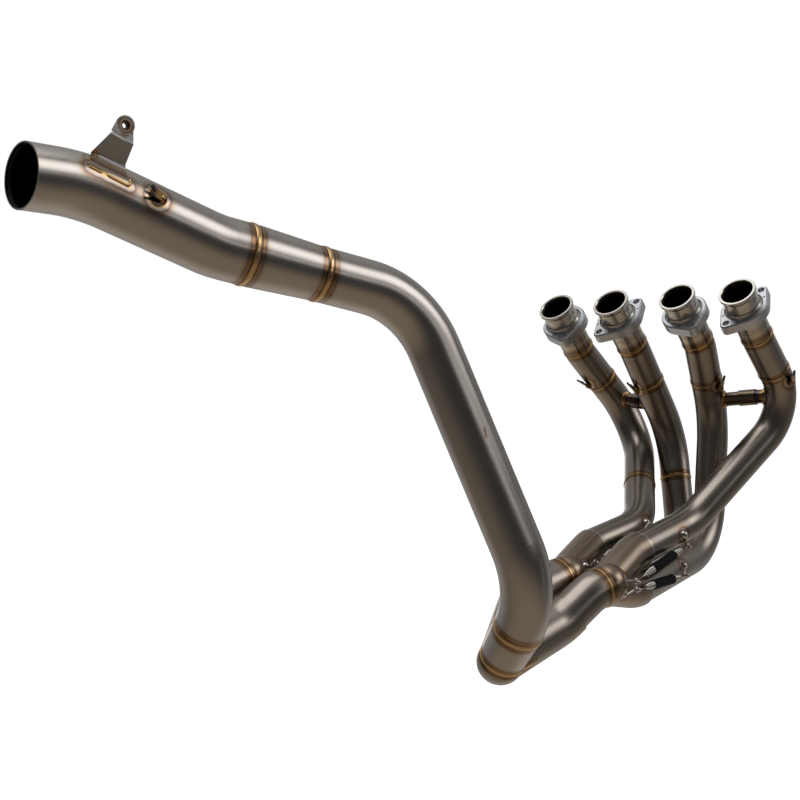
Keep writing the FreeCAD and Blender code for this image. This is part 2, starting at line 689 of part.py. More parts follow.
def rubber_sleeve(a, b):
    """Rubber tube over the coil of a spring."""
    axis = unit(b - a)
    low, high = [f * (b - a).Length for f in RUBBER_RUN]
    profile = [(low, SPRING_COIL_R), (low, RUBBER_R - 0.6), (low + 0.6, RUBBER_R), (high - 0.6, RUBBER_R)]
    profile += [(high, RUBBER_R - 0.6), (high, SPRING_COIL_R)]
    return turned(profile, a, axis)


def outside(shape, solids, keep):
    """The piece of a shape that is left outside some solids and holds a point."""
    for solid in solids:
        shape = [s for s in shape.cut(solid).Solids if s.isInside(keep, 0.01, True)][0]
    return shape


def spring_set(pair):
    """Posts, springs and rubber sleeves that hold one pair of slip joints."""
    nodes = {}
    posts = []
    solids = pair_solids(pair)
    for i in (2 * pair, 2 * pair + 1):
        segments = primary_route(i)
        mouth = sleeve_mouth_station(i, segments)
        solids.append(join(sweep(stretch(segments, mouth - SPRING_REACH, mouth), PRIMARY_OD / 2)))
    for i in (2 * pair, 2 * pair + 1):
        segments = primary_route(i)
        near, over_a, near_c, over_b = SPRING_SEATS[i]
        height_a, height_b = POST_HEIGHTS[i]
        a = seat(segments, over_a, PRIMARY_OD / 2 + height_a)[0]
        b = seat(segments, over_b, SLEEVE_OD / 2 + height_b)[0]
        axis = unit(b - a)
        post_a, out_a = spring_post(segments, near, a, axis, PRIMARY_OD / 2)
        post_b, out_b = spring_post(segments, near_c, b, axis, SLEEVE_OD / 2)
        posts.append(outside(post_a, solids, a + out_a * POST_ABOVE))
        posts.append(outside(post_b, solids, b + out_b * POST_ABOVE))
        nodes["spring_%d" % (i + 1)] = spring(a, out_a, b, out_b)
        nodes["spring_rubber_%d" % (i + 1)] = rubber_sleeve(a, b)
    nodes["spring_posts_%s" % PAIR_NAMES[pair]] = Part.makeCompound(posts)
    return nodes


def plate_between(corners, thickness):
    """Flat plate with the given corners on its middle plane."""
    normal = unit((corners[1] - corners[0]).cross(corners[2] - corners[0]))
    flat = [c - normal * (c - corners[0]).dot(normal) for c in corners]
    shifted = [c - normal * (thickness / 2) for c in flat]
    return Part.Face(Part.makePolygon(shifted + [shifted[0]])).extrude(normal * thickness), normal


def rod(a, b, radius):
    return cylinder(a, unit(b - a), radius, (b - a).Length)


def bracket_frame():
    """Normal and directions of the bracket's tab."""
    left, right = BRACKET_TOP_FOLD
    across = unit(right - left)
    up = BRACKET_TAB_CENTRE - left
    up = unit(up - across * up.dot(across))
    return across, up, unit(across.cross(up))


def outlet_bracket():
    """Sheet bracket: a foot along the pipe, a leaning web and a round-ended tab."""
    foot_l, foot_r = BRACKET_FOOT
    fold_l, fold_r = BRACKET_FOLD
    top_l, top_r = BRACKET_TOP_FOLD
    half = BRACKET_THICKNESS / 2
    foot, _ = plate_between([foot_l, foot_r, fold_r, fold_l], BRACKET_THICKNESS)
    web_a, _ = plate_between([fold_l, fold_r, top_r, top_l], BRACKET_THICKNESS)
    across, up, normal = bracket_frame()
    centre = BRACKET_TAB_CENTRE - normal * (BRACKET_TAB_CENTRE - top_l).dot(normal)
    round_end = cylinder(centre - normal * half, normal, BRACKET_TAB_R, BRACKET_THICKNESS)
    tab, _ = plate_between([top_l, top_r, centre + across * BRACKET_TAB_R, centre - across * BRACKET_TAB_R],
                           BRACKET_THICKNESS)
    body = foot.multiFuse([web_a, tab, round_end, rod(fold_l, fold_r, half), rod(top_l, top_r, half)])
    body = body.cut(cylinder(centre - normal * 5, normal, BRACKET_HOLE_R, 10))
    segments = link_route()
    station = seat(segments, foot_l, OUTLET_OD / 2)[3]
    return body.cut(around(segments, station, OUTLET_OD / 2, 60.0)).removeSplitter()


def bracket_nut():
    """Hexagonal weld nut on the back of the tab."""
    across, up, normal = bracket_frame()
    centre = BRACKET_TAB_CENTRE - normal * (BRACKET_TAB_CENTRE - BRACKET_TOP_FOLD[0]).dot(normal)
    if normal.y < 0:
        normal = normal * -1
    r = NUT_ACROSS / 2 / cos(pi / 6)
    points = [Vector(r * cos(k * pi / 3), r * sin(k * pi / 3), 0) for k in range(6)]
    nut = Part.Face(Part.makePolygon(points + [points[0]])).extrude(Vector(0, 0, NUT_THICKNESS))
    nut = nut.cut(cylinder(Vector(0, 0, -1), Vector(0, 0, 1), 2.7, NUT_THICKNESS + 2))
    return place(nut, centre + normal * (BRACKET_THICKNESS / 2), across, normal)


def tab_bracket():
    """Flat tab with a hole, standing on the final collector."""
    segments = secondary_route(0)
    foot, normal, along, station = seat(segments, TAB_FOOT, FINAL_SLEEVE_OD / 2)
    up = unit(TAB_UP)
    across = unit(along - up * along.dot(up))
    face = unit(across.cross(up))
    top = foot + up * TAB_REACH
    low = foot - up * 6
    width = TAB_R + 5
    plate, _ = plate_between([low - across * width, low + across * width, top + across * TAB_R,
                              top - across * TAB_R], TAB_THICKNESS)
    plate = plate.fuse(cylinder(top - face * (TAB_THICKNESS / 2), face, TAB_R, TAB_THICKNESS))
    plate = plate.cut(cylinder(top - face * 5, face, TAB_HOLE_R, 10))
    return plate.cut(around(segments, station, FINAL_SLEEVE_OD / 2, 60.0)).removeSplitter()


def main():
    os.makedirs("parts", exist_ok=True)
    nodes = {}
    for i in range(4):
        nodes["spigot_%d" % (i + 1)] = spigot(i)
        nodes["head_flange_%d" % (i + 1)] = head_flange(i)
        nodes.update(primary_pieces(i))
        main_name = "primary_main_%d" % (i + 1)
        nodes[main_name] = nodes[main_name].cut(balance_bore(i))
    for pair in (0, 1):
        nodes["collector_%s" % PAIR_NAMES[pair]] = pair_collector(pair)
        nodes["secondary_%s" % PAIR_NAMES[pair]] = secondary(pair)
        nodes.update(balance_pieces(pair))
        nodes.update(spring_set(pair))
    nodes["final_collector"], opening = final_collector()
    nodes.update(link_pieces(opening))
    for i in range(4):
        up = Vector(0, 0, 1)
        weld = UPPER_WELD + WELD_WIDTH / 2
        nodes["cleat_%d" % (i + 1)] = cleat(primary_route(i), CLEAT_POINTS[i], PRIMARY_OD / 2, up, weld)
    toward_mouth = Vector(-1, 0, 0)
    nodes["outlet_cleat"] = cleat(link_route(), OUTLET_CLEAT_POINT, OUTLET_OD / 2, toward_mouth, 30.0)
    nodes["outlet_bracket"] = outlet_bracket()
    nodes["bracket_nut"] = bracket_nut()
    nodes["tab_bracket"] = tab_bracket()
    for name, shape in nodes.items():
        shape.exportStep("parts/%s.step" % name)
        print(name, len(shape.Solids))


main()
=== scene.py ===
"""Looks of a four-into-one motorcycle exhaust header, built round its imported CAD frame."""

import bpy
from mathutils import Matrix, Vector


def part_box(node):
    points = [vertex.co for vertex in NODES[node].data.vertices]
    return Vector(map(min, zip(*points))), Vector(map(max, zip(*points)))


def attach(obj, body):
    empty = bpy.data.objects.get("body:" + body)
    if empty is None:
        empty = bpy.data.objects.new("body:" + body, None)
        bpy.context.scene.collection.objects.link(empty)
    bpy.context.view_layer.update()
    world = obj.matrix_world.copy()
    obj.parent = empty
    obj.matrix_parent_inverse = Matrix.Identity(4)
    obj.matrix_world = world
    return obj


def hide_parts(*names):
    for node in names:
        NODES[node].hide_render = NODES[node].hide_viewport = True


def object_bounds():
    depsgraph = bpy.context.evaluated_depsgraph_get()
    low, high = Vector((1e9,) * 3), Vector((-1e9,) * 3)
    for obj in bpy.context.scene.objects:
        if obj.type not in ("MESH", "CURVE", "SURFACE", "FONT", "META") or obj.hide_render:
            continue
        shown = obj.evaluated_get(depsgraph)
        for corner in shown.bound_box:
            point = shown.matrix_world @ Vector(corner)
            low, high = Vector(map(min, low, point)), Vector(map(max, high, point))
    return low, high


bl_info = {
    "name": "Exhaust header",
    "version": (1, 0, 0),
    "blender": (4, 5, 0),
    "location": "View3D > Sidebar > Exhaust header",
    "description": "Welds, springs, heat tint and studio for a stainless exhaust header",
    "category": "Object",
}

from math import cos, pi, radians, sin

import bmesh
import bpy
from bpy.props import FloatProperty, FloatVectorProperty, PointerProperty
from mathutils import Matrix, Vector
from mathutils.bvhtree import BVHTree

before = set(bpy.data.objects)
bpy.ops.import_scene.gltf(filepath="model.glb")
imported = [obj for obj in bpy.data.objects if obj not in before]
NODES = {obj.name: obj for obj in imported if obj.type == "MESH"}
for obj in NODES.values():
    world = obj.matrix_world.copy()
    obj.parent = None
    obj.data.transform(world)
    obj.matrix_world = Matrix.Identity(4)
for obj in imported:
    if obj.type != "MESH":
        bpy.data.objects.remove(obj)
CAD_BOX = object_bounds()
MM = 0.001
ROOT = "header"

# Weld rings: the tube that carries the bead, its centre and direction, and the tube's radius, in mm
RINGS = [
    ("primary_upper_1", (40.6, 0.0, -57.9), (0.574, 0.0, -0.819), 19.0),
    ("primary_main_1", (75.8, -7.5, -105.8), (0.589, -0.149, -0.794), 19.0),
    ("primary_lower_1", (26.2, -68.5, -234.5), (-0.838, -0.366, -0.405), 19.0),
    ("primary_upper_2", (40.6, -76.0, -57.9), (0.574, 0.0, -0.819), 19.0),
    ("primary_main_2", (68.7, -77.5, -110.8), (0.449, -0.029, -0.893), 19.0),
    ("primary_lower_2", (85.8, -89.1, -239.7), (-0.395, -0.162, -0.904), 19.0),
    ("primary_upper_3", (40.6, -164.0, -57.9), (0.574, 0.0, -0.819), 19.0),
    ("primary_main_3", (67.0, -156.7, -111.1), (0.416, 0.144, -0.898), 19.0),
    ("primary_upper_4", (40.6, -240.0, -57.9), (0.574, 0.0, -0.819), 19.0),
    ("primary_main_4", (76.1, -240.9, -106.2), (0.596, -0.017, -0.803), 19.0),
    ("secondary_12", (-217.1, -84.4, -281.2), (-0.959, 0.272, -0.080), 22.5),
    ("secondary_34", (-227.0, -140.1, -287.3), (-0.911, 0.391, -0.130), 22.5),
    ("link_stub", (-369.4, -95.4, -320.3), (-0.160, -0.641, 0.751), 24.5),
    ("link_pipe", (-376.7, -124.8, -285.8), (-0.160, -0.617, 0.771), 27.0),
    ("reducer", (-503.8, -39.8, 107.7), (-0.828, 0.403, 0.389), 27.0),
    ("outlet_pipe", (-568.7, -8.3, 138.2), (-0.828, 0.403, 0.389), 30.0),
]

# Balance tubes: the two primaries and the points where the line meets their centres, in mm
BALANCE = [
    ("12", (1, 2), (96.4, -13.3, -135.1), (85.0, -78.5, -143.2)),
    ("34", (3, 4), (80.3, -151.9, -141.2), (92.7, -238.6, -140.0)),
]

# Springs: number, then the hooked point in mm and the hook's direction, at the primary and at the collector
SPRINGS = [
    (1, ((-59.0, -116.5, -266.0), (-0.074, -0.997, -0.002)),
     ((-174.9, -107.8, -275.0), (-0.074, -0.997, -0.002))),
    (2, ((-66.0, -122.4, -308.8), (0.018, -0.933, 0.360)),
     ((-184.0, -119.0, -294.0), (-0.003, -0.980, 0.200))),
    (3, ((-87.0, -173.0, -314.0), (-0.015, -0.999, -0.047)),
     ((-203.0, -172.0, -296.0), (-0.010, -1.000, -0.015))),
    (4, ((-75.1, -174.7, -281.6), (-0.006, -0.780, -0.625)),
     ((-195.0, -168.0, -289.0), (-0.034, -0.947, -0.320))),
]

# Small hot spots on the tubes: centre and radius of what is welded there, in mm
SPOTS = [
    ((-48.0, -111.8, -262.2), 4.6), ((-189.0, -103.4, -275.1), 4.6),
    ((-53.8, -117.5, -309.2), 4.6), ((-196.3, -109.7, -294.0), 4.6),
    ((-70.0, -164.2, -307.9), 4.6), ((-215.0, -161.8, -296.9), 4.6),
    ((-79.1, -174.4, -268.0), 4.6), ((-212.0, -161.9, -283.0), 4.6),
    ((55.4, 3.0, -106.6), 8.0), ((54.0, -66.3, -115.9), 8.0),
    ((64.9, -174.4, -118.1), 8.0), ((79.9, -259.5, -119.1), 8.0),
    ((-660.7, 2.7, 202.3), 9.5),
]

# Outlet bracket, in mm: ends of its foot, the two stitches that weld it, its folds, its hole, the painted
# shadow at the foot's end and its marks
FOOT = ((-714.5, 26.0, 236.5), (-684.0, 13.0, 215.5))
STITCHES = [
    [(-715.5, 24.7, 237.6), (-710.6, 22.4, 233.8), (-705.7, 20.4, 230.2)],
    [(-701.5, 18.8, 227.5), (-693.5, 15.4, 221.8), (-685.5, 12.0, 215.9), (-681.5, 12.6, 217.5),
     (-680.0, 14.2, 221.0)],
]
BRACKET_FOLD = ((-708.0, 27.0, 249.0), (-682.0, 15.0, 234.0))
BRACKET_TOP_FOLD = ((-698.0, 7.0, 266.0), (-683.0, 0.0, 250.0))
BRACKET_HOLE = (-686.3, 1.3, 268.0)
FOOT_GAP_SHADOW = (-708.5, 27.5, 248.0)
TAB_WELDS = [(-690.1, 2.8, 272.2), (-682.1, -0.9, 263.2), (-688.5, 1.7, 261.1)]

# Centre of the bracket's nut in mm and its direction, then its thread's sizes in metres, its turns and the
# points in a turn
NUT = ((-684.6, 5.2, 267.9), (0.3896, 0.9202, -0.0373))
THREAD_PITCH = 0.001
THREAD_RADIUS = 0.00265
THREAD_WIRE = 0.0004
THREAD_TURNS = 4.4
THREAD_STEPS = 28

# Mouths of the slip sleeves: node, centre in mm and direction
SLEEVE_MOUTHS = [
    ("collector_12", (-129.1, -78.8, -268.4), (-0.994, 0.063, -0.087)),
    ("collector_12", (-134.0, -98.4, -317.8), (-0.998, 0.039, 0.041)),
    ("collector_34", (-154.0, -146.0, -310.2), (-0.996, 0.013, 0.090)),
    ("collector_34", (-137.2, -145.5, -269.4), (-0.985, 0.164, -0.043)),
]
SCRATCH = ((-410.6, -141.2, -67.6), (-411.6, -142.6, -76.0))

# Mouths whose bores show: node, centre, direction out and how deep the painted shade lies, in mm
PORT_AXIS = (-0.5736, 0.0, 0.8192)
PORT_SIDES = (0.0, -76.0, -164.0, -240.0)
PORT_MOUTHS = [
    ("spigot_%d" % number, (0.0, side, 0.0), PORT_AXIS, 140.0) for number, side in enumerate(PORT_SIDES, 1)
]
OUTLET_MOUTH = ("outlet_pipe", (-760.0, 62.0, 238.0), (-0.9476, 0.1995, 0.2494), 110.0)
MOUTHS = PORT_MOUTHS + [OUTLET_MOUTH]

# Weld tint: how far past a tube's radius it reaches and the radius above which it is wide, both in mm, then
# its half widths in metres
HEAT_MARGIN = 14.0
WIDE_TUBE = 25.0
WIDE_SPREAD = 0.016
NARROW_SPREAD = 0.0115

# How near a ring or a spot has to be for a node to carry its tint, in metres
RING_NEAR = 0.012
SPOT_NEAR = 0.008

# Brushed grain: how it is stretched along the tube, and the scales of its noises
GRAIN_STRETCH = (0.05, 1.0, 1.0)
FINE_SCALE = 1500.0
WIDE_SCALE = 420.0
CLOUD_SCALE = 26.0
SPECK_SCALE = 900.0

# Edges of the tints: how far a ring's wanders in metres, and a small spot's in parts of its spread
RING_WANDER = 0.0012
SPOT_WANDER = 0.2
PATCH_SCALE = 48.0
LINE_REACH = 0.035

# Painted shade in the bores: how squarely a face looks inwards, its grain, and where it starts and is full, in
# metres
BORE_FACING = -0.35
BORE_SHADE_SCALE = 90.0
BORE_SHADE_START = 0.0006
BORE_SHADE_FULL = 0.006

# Colour ramps of the tints: place and colour, or place and how much the tint covers
HEAT_TINT = [
    (0.00, (0.60, 0.40, 0.20)), (0.17, (0.50, 0.30, 0.12)), (0.20, (0.030, 0.016, 0.010)),
    (0.25, (0.10, 0.055, 0.025)), (0.31, (0.30, 0.155, 0.050)), (0.42, (0.22, 0.115, 0.050)),
    (0.50, (0.095, 0.060, 0.050)), (0.58, (0.24, 0.15, 0.085)), (0.72, (0.36, 0.27, 0.19)),
    (1.0, (0.40, 0.34, 0.29)),
]
HEAT_COVER = [(0.0, 0.95), (0.34, 0.92), (0.50, 0.80), (0.62, 0.45), (0.80, 0.18), (1.0, 0.0)]
SPOT_TINT = [
    (0.0, (0.045, 0.025, 0.015)), (0.08, (0.50, 0.31, 0.12)), (0.16, (0.46, 0.33, 0.19)),
    (0.24, (0.42, 0.35, 0.30)), (0.36, (0.30, 0.23, 0.20)), (0.42, (0.085, 0.05, 0.05)),
    (0.49, (0.21, 0.12, 0.075)), (0.64, (0.30, 0.19, 0.11)), (1.0, (0.38, 0.31, 0.25)),
]
SPOT_COVER = [(0.0, 0.95), (0.46, 0.85), (0.64, 0.65), (1.0, 0.0)]
# Near-black painted shade, mottled like soot, deep in the bores
BORE_SHADE_TINT = [(0.3, (0.004, 0.0035, 0.003)), (0.7, (0.013, 0.010, 0.008))]
CLEAT_TINT = [
    (0.0, (0.50, 0.33, 0.12)), (0.45, (0.42, 0.25, 0.09)), (0.6, (0.13, 0.07, 0.05)),
    (0.74, (0.05, 0.06, 0.13)), (0.86, (0.02, 0.02, 0.03)), (1.0, (0.10, 0.085, 0.08)),
]

PALE = ("link_stub", "link_pipe", "reducer", "outlet_pipe")
COLLECTORS = ("collector_12", "collector_34")
TUBES = ["primary_upper_%d" % i for i in (1, 2, 3, 4)]
TUBES += ["primary_main_%d" % i for i in (1, 2, 3, 4)]
TUBES += ["primary_lower_1", "primary_lower_2", *COLLECTORS]
TUBES += ["secondary_12", "secondary_34", "final_collector", *PALE]
COLLECTOR_CAST = Vector((0.95, 0.86, 0.76))
BROWNED_ROUGHER = 0.06
# Painted highlight on the lip of a sleeve's mouth, and painted shade in the gap just inside it
SLEEVE_EDGE_HIGHLIGHT = (0.78, 0.74, 0.68)
SLEEVE_GAP_SHADE = (0.05, 0.04, 0.035)

# Colours of the small parts
BALANCE_STEEL = (0.15, 0.115, 0.085)
BALANCE_BLUE = (0.02, 0.035, 0.14)
BALANCE_BLACK = (0.012, 0.010, 0.010)
POST_STEEL = (0.52, 0.47, 0.41)
NUT_STEEL = (0.42, 0.40, 0.37)
# Thread painted dark for the shade inside the nut's bore
THREAD_SHADED_STEEL = (0.10, 0.085, 0.07)
TAB_SHEET = (0.30, 0.29, 0.28)
BRACKET_WEB = (0.30, 0.30, 0.305)
# Tab of the bracket painted paler than the web, as the face that catches the light
BRACKET_LIT_TAB = (0.52, 0.51, 0.50)
BRACKET_BRONZE = (0.40, 0.35, 0.30)
# Near-white painted highlight along the bracket's folds
BRACKET_RIDGE_HIGHLIGHT = (0.85, 0.85, 0.86, 1.0)

# Turn that lays the grain along a tube, in radians
TURNS = {"link_pipe": (0.0, 1.45, 0.25), "outlet_pipe": (0.0, 0.25, 0.2), "reducer": (0.0, 0.4, 0.45)}
PRIMARY_TURN = (0.0, 1.2, 0.0)
PORT_TURN = (0.0, 0.96, 0.0)

# Distances from a spigot's mouth to its weld and to the tint on its neck, in metres
NECK_WELD = 0.0705
NECK_TINT = 0.056

# The camera's place in mm, and its axes: towards it from the object, to its right, and up
CAMERA = (-1710.6, -1002.7, 191.6)
TOWARD = Vector((-0.79706, -0.58764, 0.13917))
RIGHT = Vector((0.56965, -0.80812, -0.14979))
UP = Vector((0.20049, -0.04011, 0.97887))

# Bright panels round the object: azimuth and elevation from the camera's side in degrees, half sizes, soft
# edge and glow
PANELS = [
    (80.0, 33.0, 0.26, 0.22, 0.6, 2.5),
    (57.0, 11.5, 0.22, 0.05, 0.8, 1.3),
    (87.0, -12.0, 0.05, 0.22, 0.4, 0.25),
    (-112.0, 62.0, 0.14, 0.10, 0.8, 1.2),
    (178.0, 2.0, 0.36, 0.14, 0.7, 1.3),
]
BASE_GLOW = 0.06
BACK_GLOW = 0.30
TOP_GLOW = 0.32
WARM_FLOOR = (0.27, 0.215, 0.15)
FLOOR_GREY = (0.86, 0.86, 0.86, 1.0)
FLOOR_GLOW = 0.75
FLOOR_HALF = 9.0
WHITE = (1.0, 1.0, 1.0, 1.0)
SOFTBOX_TARGET = Vector((-0.33, -0.06, -0.03))
SOFTBOX_RISE = 1.6
SOFTBOX_SIDE = 1.4


def mm(point):
    """A point given in millimetres, in metres."""
    return Vector(point) * MM


# Kinds of the groups' sockets; the others hold one number
SOCKETS = dict.fromkeys("Position Normal Centre Axis Run Turn".split(), "NodeSocketVector")
SOCKETS.update(Color="NodeSocketColor", Tint="NodeSocketColor")


def new_group(name, inputs, outputs):
    """An empty shader node group: its tree, what it is given and what is taken from it."""
    tree = bpy.data.node_groups.new(name, "ShaderNodeTree")
    for side, labels in (("INPUT", inputs), ("OUTPUT", outputs)):
        for label in labels.split():
            kind = SOCKETS.get(label, "NodeSocketFloat")
            tree.interface.new_socket(label, in_out=side, socket_type=kind)
    entry = tree.nodes.new("NodeGroupInput")
    leave = tree.nodes.new("NodeGroupOutput")
    return tree, entry.outputs, leave.inputs


def feed(tree, socket, value):
    """Links a socket to another one, or gives it a plain value."""
    if isinstance(value, bpy.types.NodeSocket):
        tree.links.new(value, socket)
    else:
        socket.default_value = value


def math_node(tree, operation, a, b=None, clamp=False):
    node = tree.nodes.new("ShaderNodeMath")
    node.operation = operation
    node.use_clamp = clamp
    feed(tree, node.inputs[0], a)
    if b is not None:
        feed(tree, node.inputs[1], b)
    return node.outputs[0]


def plus(tree, a, b, clamp=False):
    return math_node(tree, "ADD", a, b, clamp)


def minus(tree, a, b):
    return math_node(tree, "SUBTRACT", a, b)


def times(tree, a, b, clamp=False):
    return math_node(tree, "MULTIPLY", a, b, clamp)


def over(tree, a, b, clamp=False):
    return math_node(tree, "DIVIDE", a, b, clamp)


def vector_node(tree, operation, a, b=None, scale=None):
    node = tree.nodes.new("ShaderNodeVectorMath")
    node.operation = operation
    feed(tree, node.inputs[0], a)
    if b is not None:
        feed(tree, node.inputs[1], b)
    if scale is not None:
        feed(tree, node.inputs["Scale"], scale)
    return node.outputs["Value"] if operation in ("DOT_PRODUCT", "LENGTH") else node.outputs[0]


def dot(tree, a, b):
    return vector_node(tree, "DOT_PRODUCT", a, b)


def away_from(tree, position, centre):
    return vector_node(tree, "SUBTRACT", position, centre)


def ramp_node(tree, factor, stops):
    """Colour ramp with stops of position and colour, or position and value for a grey one."""
    node = tree.nodes.new("ShaderNodeValToRGB")
    ramp = node.color_ramp
    while len(ramp.elements) < len(stops):
        ramp.elements.new(0.5)
    for element, (position, colour) in zip(ramp.elements, stops):
        element.position = position
        element.color = colour + (1.0,) if isinstance(colour, tuple) else (colour,) * 3 + (1.0,)
    feed(tree, node.inputs[0], factor)
    return node.outputs["Color"]


def span_node(tree, value, low, high, to_low=0.0, to_high=1.0, kind="SMOOTHSTEP"):
    """Maps a value from one range to another."""
    node = tree.nodes.new("ShaderNodeMapRange")
    node.interpolation_type = kind
    feed(tree, node.inputs["Value"], value)
    node.inputs["From Min"].default_value = low
    node.inputs["From Max"].default_value = high
    node.inputs["To Min"].default_value = to_low
    node.inputs["To Max"].default_value = to_high
    return node.outputs["Result"]


def mix_colour(tree, factor, a, b):
    node = tree.nodes.new("ShaderNodeMix")
    node.data_type = "RGBA"
    feed(tree, node.inputs["Factor"], factor)
    feed(tree, node.inputs["A"], a)
    feed(tree, node.inputs["B"], b)
    return node.outputs["Result"]


def noise_node(tree, position, scale, detail=3.0, roughness=0.5):
    node = tree.nodes.new("ShaderNodeTexNoise")
    feed(tree, node.inputs["Vector"], position)
    node.inputs["Scale"].default_value = scale
    node.inputs["Detail"].default_value = detail
    node.inputs["Roughness"].default_value = roughness
    return node.outputs["Fac"]


def wander_node(tree, position, scale, detail=3.0, roughness=0.5):
    """Noise that swings round zero."""
    return minus(tree, noise_node(tree, position, scale, detail, roughness), 0.5)


def build_grain():
    """Satin grain: fine streaks along one direction, cloudy patches and a speckled height."""
    tree, given, taken = new_group(
        "Satin grain", "Position Color Roughness Turn Cloud Streak", "Color Roughness Height")
    rotate = tree.nodes.new("ShaderNodeVectorRotate")
    rotate.rotation_type = "EULER_XYZ"
    feed(tree, rotate.inputs["Vector"], given["Position"])
    feed(tree, rotate.inputs["Rotation"], given["Turn"])
    stretched = vector_node(tree, "MULTIPLY", rotate.outputs[0], GRAIN_STRETCH)
    fine = wander_node(tree, stretched, FINE_SCALE, detail=2.0, roughness=0.6)
    wide = wander_node(tree, stretched, WIDE_SCALE, roughness=0.6)
    cloud = wander_node(tree, given["Position"], CLOUD_SCALE, detail=4.0, roughness=0.55)
    speck = noise_node(tree, given["Position"], SPECK_SCALE, detail=2.0)
    cloud = times(tree, cloud, given["Cloud"])
    lines = plus(tree, fine, wide)
    streak = times(tree, lines, given["Streak"])
    gain = plus(tree, 1.0, plus(tree, cloud, streak))
    feed(tree, taken["Color"], vector_node(tree, "SCALE", given["Color"], scale=gain))
    rough = plus(tree, given["Roughness"], times(tree, cloud, 0.5))
    feed(tree, taken["Roughness"], plus(tree, rough, times(tree, lines, 0.07), clamp=True))
    feed(tree, taken["Height"], plus(tree, times(tree, lines, 0.7), times(tree, speck, 0.3)))
    return tree


def build_heat():
    """Heat tint round a weld ring: pale bead, burnt toe lines and an amber to violet fade."""
    tree, given, taken = new_group(
        "Weld heat", "Position Color Roughness Centre Axis Reach Spread Heat", "Color Roughness")
    offset = away_from(tree, given["Position"], given["Centre"])
    wander = wander_node(tree, given["Position"], 130.0)
    along = plus(tree, dot(tree, offset, given["Axis"]), times(tree, wander, RING_WANDER))
    near = math_node(tree, "LESS_THAN", vector_node(tree, "LENGTH", offset), given["Reach"])
    factor = over(tree, math_node(tree, "ABSOLUTE", along), given["Spread"], clamp=True)
    tint = ramp_node(tree, factor, HEAT_TINT)
    cover = ramp_node(tree, factor, HEAT_COVER)
    patches = noise_node(tree, given["Position"], PATCH_SCALE, detail=2.0)
    patchy = span_node(tree, patches, 0.25, 0.75, to_low=0.72, to_high=1.12)
    amount = times(tree, times(tree, cover, near), patchy)
    amount = times(tree, amount, given["Heat"], clamp=True)
    feed(tree, taken["Color"], mix_colour(tree, amount, given["Color"], tint))
    feed(tree, taken["Roughness"], plus(tree, given["Roughness"], times(tree, amount, -0.03), clamp=True))
    return tree


def build_spot():
    """Burnt halo round something small that is welded on, or along a short run; also painted shade at the
    bracket foot's gap and round its hole.
    """
    tree, given, taken = new_group(
        "Spot heat and shade", "Position Color Centre Run Radius Spread Heat", "Color")
    offset = away_from(tree, given["Position"], given["Centre"])
    run = given["Run"]
    share = over(tree, dot(tree, offset, run), dot(tree, run, run), clamp=True)
    offset = vector_node(tree, "SUBTRACT", offset, vector_node(tree, "SCALE", run, scale=share))
    away = minus(tree, vector_node(tree, "LENGTH", offset), given["Radius"])
    ragged = times(tree, given["Spread"], SPOT_WANDER)
    away = plus(tree, away, times(tree, wander_node(tree, given["Position"], 160.0), ragged))
    factor = over(tree, plus(tree, away, 0.001), given["Spread"], clamp=True)
    tint = ramp_node(tree, factor, SPOT_TINT)
    amount = times(tree, ramp_node(tree, factor, SPOT_COVER), given["Heat"], clamp=True)
    feed(tree, taken["Color"], mix_colour(tree, amount, given["Color"], tint))
    return tree


def build_line():
    """A soft thin line where a plane cuts the tube."""
    tree, given, taken = new_group(
        "Thin line", "Position Color Centre Axis Half Tint Amount", "Color")
    offset = away_from(tree, given["Position"], given["Centre"])
    along = math_node(tree, "ABSOLUTE", dot(tree, offset, given["Axis"]))
    near = math_node(tree, "LESS_THAN", vector_node(tree, "LENGTH", offset), LINE_REACH)
    amount = span_node(tree, over(tree, along, given["Half"]), 0.5, 1.2, 1.0, 0.0)
    amount = times(tree, times(tree, amount, near), given["Amount"], clamp=True)
    feed(tree, taken["Color"], mix_colour(tree, amount, given["Color"], given["Tint"]))
    return tree


def build_bore_shade():
    """Painted shade in the bore behind a mouth, near black and mottled like soot, on the faces that look
    towards the tube's own axis.
    """
    tree, given, taken = new_group(
        "Bore shade", "Position Color Roughness Normal Centre Axis Depth", "Color Roughness")
    offset = away_from(tree, given["Position"], given["Centre"])
    along = dot(tree, offset, given["Axis"])
    radial = vector_node(tree, "SUBTRACT", offset, vector_node(tree, "SCALE", given["Axis"], scale=along))
    facing = dot(tree, given["Normal"], vector_node(tree, "NORMALIZE", radial))
    inward = math_node(tree, "LESS_THAN", facing, BORE_FACING)
    deep = math_node(tree, "GREATER_THAN", along, times(tree, given["Depth"], -1.0))
    edge = span_node(tree, times(tree, along, -1.0), BORE_SHADE_START, BORE_SHADE_FULL)
    amount = times(tree, times(tree, inward, deep), edge)
    bore_shade = ramp_node(tree, noise_node(tree, given["Position"], BORE_SHADE_SCALE, detail=4.0), BORE_SHADE_TINT)
    feed(tree, taken["Color"], mix_colour(tree, amount, given["Color"], bore_shade))
    feed(tree, taken["Roughness"], plus(tree, given["Roughness"], times(tree, amount, 0.5), clamp=True))
    return tree


BUILDERS = {
    "Satin grain": build_grain, "Weld heat": build_heat, "Spot heat and shade": build_spot, "Thin line": build_line,
    "Bore shade": build_bore_shade,
}
GROUPS = {}


